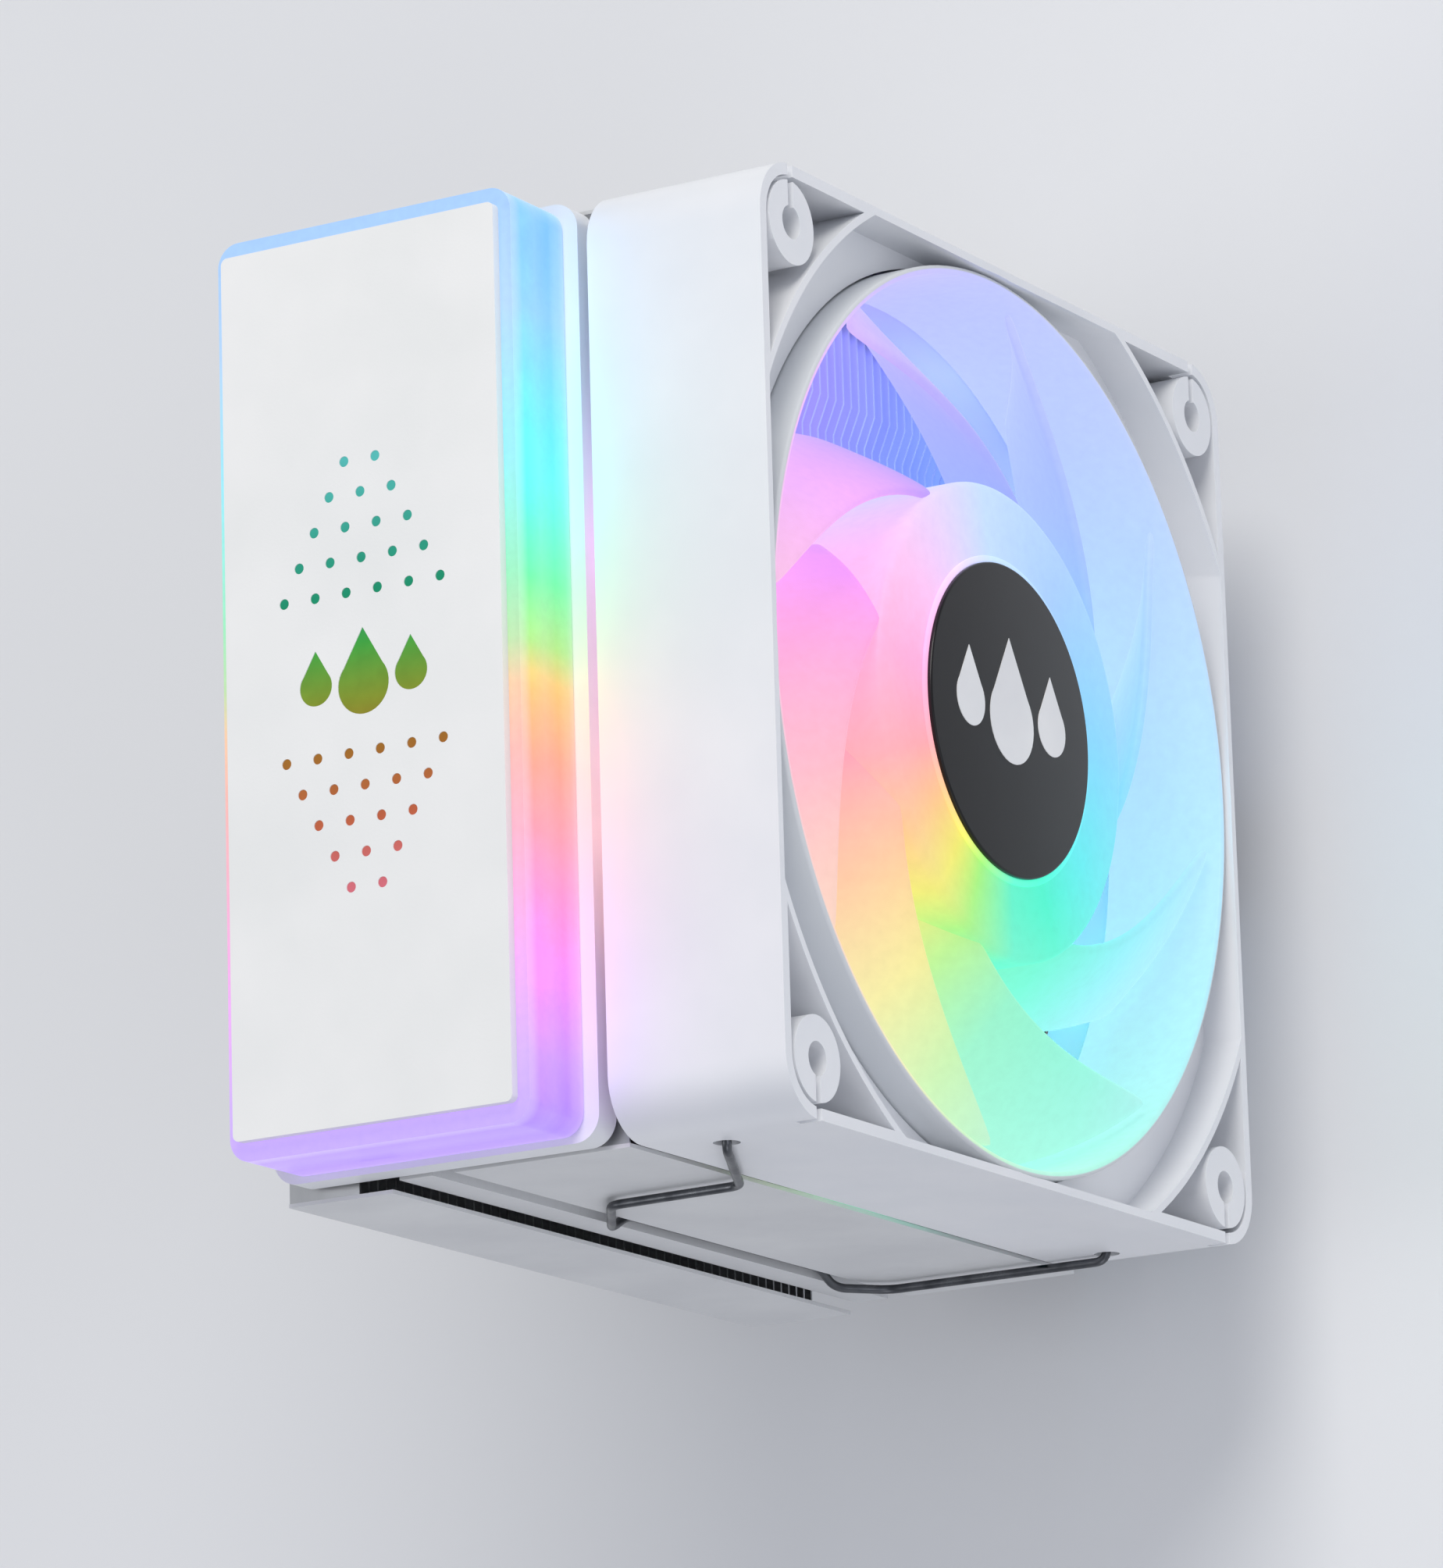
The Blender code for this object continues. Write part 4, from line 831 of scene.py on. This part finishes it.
def corner_pockets():
    """Cutters for the hollows round each screw boss, between the mouth's rib and the outer wall."""
    low, wall, deep, through = 33 * MM, 1.5 * MM, 12 * MM, 40 * MM
    places = []
    for sy, sz in fan_corners(1):
        ys = sorted((sy * low, sy * FAN_SIZE / 2))
        zs = sorted((FAN_Z + sz * low, FAN_Z + sz * FAN_SIZE / 2))
        places.append(((INTAKE - deep, ys[0], zs[0]), (INTAKE + CLEAR, ys[1], zs[1])))
    pockets = boxes(places)
    inside = FAN_SIZE - 2 * wall
    walls = flat([rounded_rectangle(inside, inside, 6 * MM)], 60 * MM, AT_INTAKE)
    pockets = combine(pockets, walls, "INTERSECT")
    rib = cylinders([(OUTLET, 0, FAN_Z)], (1, 0, 0), through, RIB_RADIUS + CLEAR, ROUND)
    pockets = combine(pockets, rib, "DIFFERENCE")
    starts = [(OUTLET, y, FAN_Z + z) for y, z in fan_corners()]
    bosses = cylinders(starts, (1, 0, 0), through, BOSS_RADIUS, 40)
    return combine(pockets, bosses, "DIFFERENCE")


def fan_frame():
    """The closed square shroud: bore, mouth recess, corner pockets, screw and clip holes."""
    middle = Matrix.Translation(((INTAKE + OUTLET) / 2, 0, 0)) @ AT_FAN
    body = flat([rounded_rectangle(FAN_SIZE, FAN_SIZE, SHROUD_RADIUS)], INTAKE - OUTLET, middle)
    bore = cylinders([(OUTLET - CLEAR, 0, FAN_Z)], (1, 0, 0), THROUGH, BORE_RADIUS, ROUND)
    body = combine(body, bore, "DIFFERENCE")
    recess = cylinders([(INTAKE - RECESS_DEPTH, 0, FAN_Z)], (1, 0, 0), 8 * MM, RIB_RADIUS, ROUND)
    inner = FAN_SIZE - 2.2 * MM
    limit = flat([rounded_rectangle(inner, inner, 6.4 * MM)], 40 * MM, AT_INTAKE)
    body = combine(body, combine(recess, limit, "INTERSECT"), "DIFFERENCE")
    body = combine(body, corner_pockets(), "DIFFERENCE")
    starts = [(OUTLET - CLEAR, y, FAN_Z + z) for y, z in fan_corners()]
    holes = cylinders(starts, (1, 0, 0), THROUGH, SCREW_HOLE_RADIUS, 32)
    body = combine(body, holes, "DIFFERENCE")
    body = combine(body, boss_slots(), "DIFFERENCE")
    body = combine(body, clip_holes(), "DIFFERENCE")
    piece(body, "fan_shroud", "root", LOOKS["shroud"], ["fan_frame"], 0.3 * MM)
    spider()


def boss_slots():
    """Cutters for the slot from each screw hole out through the frame's side."""
    half = 0.6 * MM
    places = []
    for y, z in fan_corners():
        ys = sorted((y, math.copysign(FAN_SIZE / 2 + CLEAR, y)))
        places.append(((INTAKE - 3 * MM, ys[0], FAN_Z + z - half),
                       (INTAKE + CLEAR, ys[1], FAN_Z + z + half)))
    return boxes(places)


def clip_holes():
    """Cutters for the holes in the frame's sides that the wire clips' ends sit in."""
    clip_low, clip_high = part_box("wire_clip_lower")
    x, radius, depth = clip_high.x - WIRE_RADIUS, 1.7 * MM, 7.5 * MM
    bm = bmesh.new()
    for side in (-1, 1):
        for z in (clip_low.z + WIRE_RADIUS, clip_high.z - WIRE_RADIUS):
            middle = Vector((x, side * (FAN_SIZE / 2 + CLEAR - depth / 2), z))
            bmesh.ops.create_cone(bm, cap_ends=True, segments=28, radius1=radius, radius2=radius,
                                  depth=depth, matrix=Matrix.Translation(middle) @ SIDE_ON)
    return mesh_object(bm)


def spider():
    """The motor's seat at the outlet and its four arms."""
    seat = cylinders([(OUTLET + 0.05 * MM, 0, FAN_Z)], (1, 0, 0), SEAT_THICKNESS, SEAT_RADIUS, 96)
    arms = []
    for index in range(4):
        arm = boxes([((0.1 * MM, SEAT_RADIUS - 4 * MM, -ARM_HALF_WIDTH),
                      (SEAT_THICKNESS, BORE_RADIUS + CLEAR, ARM_HALF_WIDTH))])
        turn = Matrix.Rotation(math.radians(45 + 90 * index), 4, "X")
        arm.data.transform(Matrix.Translation((OUTLET, 0, FAN_Z)) @ turn)
        arms.append(arm)
    item = combine(seat, joined(arms), "UNION")
    piece(item, "fan_motor_seat", "root", LOOKS["shroud"], ["fan_frame"], 0.3 * MM)


def mouth_ring():
    """The frosted ring that lines the bore's mouth."""
    low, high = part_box("mouth_ring")
    ring = rounded_ring(57.6 * MM, (high.y - low.y) / 2, low.x, high.x, 0.4 * MM, AT_FAN)
    piece(ring, "fan_mouth_ring", "root", LOOKS["duct"], ["mouth_ring"])


HUB_RADIUS, TIP_RADIUS, BLADE_COUNT = 31 * MM, 56.8 * MM, 8
HUB_FACE, HUB_INSIDE = 50.6 * MM, 49 * MM
BLADE_SPAN = 26 * MM            # the length that the blade's sweep below is drawn over
BLADE_ROOT_ANGLE, ROOT_CHORD, TIP_CHORD = -12, 29, 25     # degrees round the fan's axis
BLADE_SWEEP, SWEEP_EASING = 84, 32                        # degrees too, over that length
BLADE_FRONT, BLADE_DEPTH, BLADE_CAMBER = 49.8 * MM, 13.2 * MM, 1.2 * MM


def hub_profile():
    """A cup, open towards the outlet, with a collar round the yoke and a boss for the shaft."""
    edge, foot, wall = 1.2 * MM, 32.5 * MM, 29.4 * MM
    collar, collar_bore, collar_foot = 21.3 * MM, 19.8 * MM, 36 * MM
    boss, boss_bore, boss_foot, shaft_end = 4.2 * MM, 1.8 * MM, 45 * MM, 48.8 * MM
    rim = arc((HUB_RADIUS - edge, HUB_FACE - edge), edge, 90, 0, 6)
    return ([(0, HUB_FACE)] + rim + [(HUB_RADIUS, foot), (wall, foot), (wall, HUB_INSIDE),
            (collar, HUB_INSIDE), (collar, collar_foot), (collar_bore, collar_foot),
            (collar_bore, HUB_INSIDE), (boss, HUB_INSIDE), (boss, boss_foot),
            (boss_bore, boss_foot), (boss_bore, shaft_end), (0, shaft_end)])


def blade_point(radius, share):
    """A point on a blade's middle surface. Share runs from its leading edge to its tail."""
    out = (radius - HUB_RADIUS) / BLADE_SPAN
    chord = ROOT_CHORD + (TIP_CHORD - ROOT_CHORD) * out
    swept = BLADE_SWEEP * out - SWEEP_EASING * out ** 2
    angle = math.radians(BLADE_ROOT_ANGLE + swept - chord * share)
    x = BLADE_FRONT - BLADE_DEPTH * share + BLADE_CAMBER * math.sin(math.pi * share)
    return (x, radius * math.cos(angle), FAN_Z + radius * math.sin(angle))


def blades():
    """The swept blades, each a thin curved sheet rooted just inside the hub's wall."""
    rows, columns = 12, 9
    root, tip = HUB_RADIUS - 0.9 * MM, TIP_RADIUS - 0.4 * MM
    bm = bmesh.new()
    for blade in range(BLADE_COUNT):
        turn = Matrix.Rotation(2 * math.pi * blade / BLADE_COUNT, 4, "X")
        turn = Matrix.Translation((0, 0, FAN_Z)) @ turn @ Matrix.Translation((0, 0, -FAN_Z))
        grid = []
        for row in range(rows + 1):
            radius = root + (tip - root) * row / rows
            grid.append([bm.verts.new(turn @ Vector(blade_point(radius, column / columns)))
                         for column in range(columns + 1)])
        for row in range(rows):
            for column in range(columns):
                bm.faces.new((grid[row][column], grid[row][column + 1],
                              grid[row + 1][column + 1], grid[row + 1][column]))
    sheets = mesh_object(bm)
    solidify = sheets.modifiers.new("Thickness", "SOLIDIFY")
    solidify.thickness = 1.3 * MM
    solidify.offset = 0
    smooth = sheets.modifiers.new("Smooth", "SUBSURF")
    smooth.levels = smooth.render_levels = 1
    piece(sheets, "fan_blades", "rotor", LOOKS["blades"], ["rotor"])
    sheets.data.shade_smooth()


def rotor():
    hub = turned(hub_profile(), ROUND, AT_FAN)
    piece(hub, "fan_hub", "rotor", LOOKS["hub"], ["rotor"])
    blades()
    low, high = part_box("hub_badge")
    radius, edge = (high.y - low.y) / 2, 0.3 * MM
    rim = arc((radius - edge, high.x - edge), edge, 90, 0, 4)
    profile = [(0, high.x)] + rim + [(radius, low.x), (0, low.x)]
    badge = turned(profile, ROUND, AT_FAN)
    piece(badge, "fan_badge", "rotor", LOOKS["badge"], ["hub_badge"])
    glow = rounded_ring(radius + 0.1 * MM, radius + 0.9 * MM, HUB_FACE - 0.05 * MM,
                        HUB_FACE + 0.4 * MM, 0.15 * MM, AT_FAN)
    piece(glow, "fan_badge_rim", "rotor", LOOKS["badge_rim"], ["rotor"])
    badge_mark(high.x)


def badge_mark(face):
    """Three plain drops on the badge, standing upright when +Y is up."""
    scale, thin, lift = 1.5, 0.08 * MM, 2.5 * MM
    outlines = [[(-x * scale, y * scale) for x, y in outline] for outline in drops()]
    # The drawing's X runs down the tower and its Y towards +Y, seen from the intake
    facing = Matrix(((0, 0, 1, 0), (0, 1, 0, 0), (1, 0, 0, 0), (0, 0, 0, 1)))
    place = Matrix.Translation((face + thin / 2, lift, FAN_Z)) @ facing
    marks = [flat([outline], thin, place) for outline in outlines]
    piece(joined(marks), "fan_badge_mark", "rotor", LOOKS["mark"])


def wire_clip(node, name, side, body):
    """The clip's route repeats the CAD one, with rounder bends and a rounder wire."""
    low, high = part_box(node)
    foot_x, top_z, low_z = high.x - WIRE_RADIUS, high.z - WIRE_RADIUS, low.z + WIRE_RADIUS
    outer_y, inner_y, foot_y = side * 60.9 * MM, side * 58.7 * MM, side * 55.8 * MM
    corners = [
        (foot_x, foot_y, top_z), (foot_x, outer_y, top_z), (25.5 * MM, outer_y, 111 * MM),
        (6 * MM, outer_y, 110 * MM), (GROOVE_X, outer_y, 97 * MM), (GROOVE_X, inner_y, 93 * MM),
        (GROOVE_X, inner_y, 45 * MM), (GROOVE_X, outer_y, 41 * MM), (3 * MM, outer_y, 35 * MM),
        (foot_x, outer_y, low_z), (foot_x, foot_y, low_z),
    ]
    clip = tube(rounded_path(corners, 1.8 * MM), WIRE_RADIUS, 6)
    piece(clip, name, body, LOOKS["dark"], [node])


# ---- CAD nodes that stay -------------------------------------------------------------------

KEPT = {
    "bright": ["mounting_bar", "bar_screw_1", "bar_screw_2", "shaft", "tray_screw_1", "tray_screw_2",
               "tray_screw_3", "tray_screw_4"],
    "dark": ["stator_core", "yoke_ring", "shaft_clip"],
    "brass": ["bearing_tube", "tray_nut_1", "tray_nut_2", "tray_nut_3", "tray_nut_4"],
    "rubber": ["corner_pad_1", "corner_pad_2", "corner_pad_3", "corner_pad_4"],
    "board": ["cover_circuit_board", "fan_circuit_board"],
    "lamp": [f"cover_lamp_{index}" for index in range(1, 7)],
    "winding": [f"winding_{index}" for index in range(1, 5)],
    "ferrite": ["magnet_ring"],
}


def dress_kept_nodes():
    """Gives each CAD node that still shows its material, and rounds the edges of some."""
    for look, names in KEPT.items():
        for name in names:
            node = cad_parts[name]
            node.data.materials.clear()
            node.data.materials.append(LOOKS[look])
    for name in ("mounting_bar", "bar_screw_1", "bar_screw_2", "corner_pad_1", "corner_pad_2",
                 "corner_pad_3", "corner_pad_4"):
        soften(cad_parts[name], 0.25 * MM)


# ---- Stage ---------------------------------------------------------------------------------

CAMERA_PLACE = Vector((0.525, -0.248, 0.950))
CAMERA_UP = Vector((0.114, 0.984, 0.135))
LENS = 184                      # millimetres, on a sensor 36 mm along the picture's long side
SPILL_POWER, FAN_POWER = 0.0004, 0.003    # watts, for each small light at the cover and in the fan
SKY_STRENGTH, SKY_TINT = 0.42, "E8ECF6"
SOFT_LIGHTS = (                 # name, place, size, watts, tint
    ("key", (0.35, 0.75, 1.0), 0.7, 8.5, "FFFDF8"),
    ("fill", (0.9, -0.3, 0.7), 0.8, 1.8, "F2F5FF"),
    ("rim", (-0.8, -0.2, 0.8), 0.6, 2, "FFFFFF"),
    ("low", (0.3, -1.0, 0.45), 0.7, 1.5, "F6F6FA"),
)


def aimed(item, place, target, up):
    """Turns a camera or light at a place towards its target."""
    back = (place - target).normalized()
    right = up.cross(back).normalized()
    rotation = Matrix((right, back.cross(right), back)).transposed().to_4x4()
    item.matrix_world = Matrix.Translation(place) @ rotation


def camera(target):
    data = bpy.data.cameras.new("camera")
    data.lens = LENS
    data.clip_start, data.clip_end = 0.05, 20
    item = bpy.data.objects.new("camera", data)
    bpy.context.scene.collection.objects.link(item)
    aimed(item, CAMERA_PLACE, target, CAMERA_UP)
    bpy.context.scene.camera = item


def area_light(name, place, target, size, power, tint):
    data = bpy.data.lights.new(name, "AREA")
    data.shape = "DISK"
    data.size = size
    data.energy = power
    data.color = colour(tint)[:3]
    item = bpy.data.objects.new(name, data)
    bpy.context.scene.collection.objects.link(item)
    aimed(item, Vector(place), target, Vector((0, 0, 1)))


def hue_at(stops, share):
    """The linear colour at a share of a row of stops, for the lights that the lit pieces cast."""
    for (start, first), (end, second) in zip(stops, stops[1:]):
        if share <= end:
            blend = (share - start) / (end - start)
            return [a + (b - a) * blend for a, b in zip(colour(first), colour(second))][:3]
    return colour(stops[-1][1])[:3]


def small_light(name, place, power, tint):
    """A coloured light that is seen only by what it falls on."""
    data = bpy.data.lights.new(name, "POINT")
    data.energy = power
    data.shadow_soft_size = 2.5 * MM
    data.color = tint
    item = bpy.data.objects.new(name, data)
    item.location = place
    item.visible_camera = False
    item.visible_glossy = False
    bpy.context.scene.collection.objects.link(item)


def cover_spill():
    """What the lit frame throws on the fan's wall and the tray beside it."""
    low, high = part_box("light_frame")
    count = 16
    for index in range(count):
        share = (index + 0.5) / count
        place = (high.x + 2.8 * MM, high.y + (low.y - high.y) * share, low.z + 9 * MM)
        small_light(f"cover_spill_{index}", place, SPILL_POWER, hue_at(RAINBOW, share))


def fan_spill():
    """What the lit rotor throws on the fins, the motor's arms and the bore."""
    count, radius = 8, 47 * MM
    for index in range(count):
        share = (index + 0.5) / count
        angle = 2 * math.pi * share
        place = (OUTLET + 4.5 * MM, -radius * math.cos(angle), FAN_Z + radius * math.sin(angle))
        small_light(f"fan_spill_{index}", place, FAN_POWER, hue_at(WHEEL, share))


def floor():
    look = Look("pale_floor", roughness=0.6)
    look.paint(look.ramp(look.noise(3, 3), ((0.3, "E4E5E8"), (0.7, "EBECEE"))))
    look.bump(look.noise(300, 2), 0.05 * MM)
    half, thick, below = 6, 0.02, 0.0002
    item = boxes([((-half, -half, -thick), (half, half, -below))])
    item.name = "floor"
    bpy.context.scene.collection.objects.link(item)
    item.data.materials.append(look.material)


def studio():
    low, high = cad_bounds
    target = (Vector(low) + Vector(high)) / 2
    floor()
    world = bpy.data.worlds.new("studio")
    world.use_nodes = True
    sky = world.node_tree.nodes["Background"]
    sky.inputs["Color"].default_value = colour(SKY_TINT)
    sky.inputs["Strength"].default_value = SKY_STRENGTH
    bpy.context.scene.world = world
    for name, place, size, power, tint in SOFT_LIGHTS:
        area_light(name, place, target, size, power, tint)
    bpy.context.scene.view_settings.view_transform = "Standard"
    cover_spill()
    fan_spill()
    camera(target)


def main():
    top_plate()
    dot_light()
    light_frame()
    cover_tray()
    fin_stack()
    heat_pipes()
    base_block()
    contact_plate()
    captive_screw("rear")
    captive_screw("front")
    fan_frame()
    mouth_ring()
    rotor()
    wire_clip("wire_clip_lower", "fan_wire_clip_lower", -1, "clip_lower")
    wire_clip("wire_clip_upper", "fan_wire_clip_upper", 1, "clip_upper")
    dress_kept_nodes()
    studio()


main()
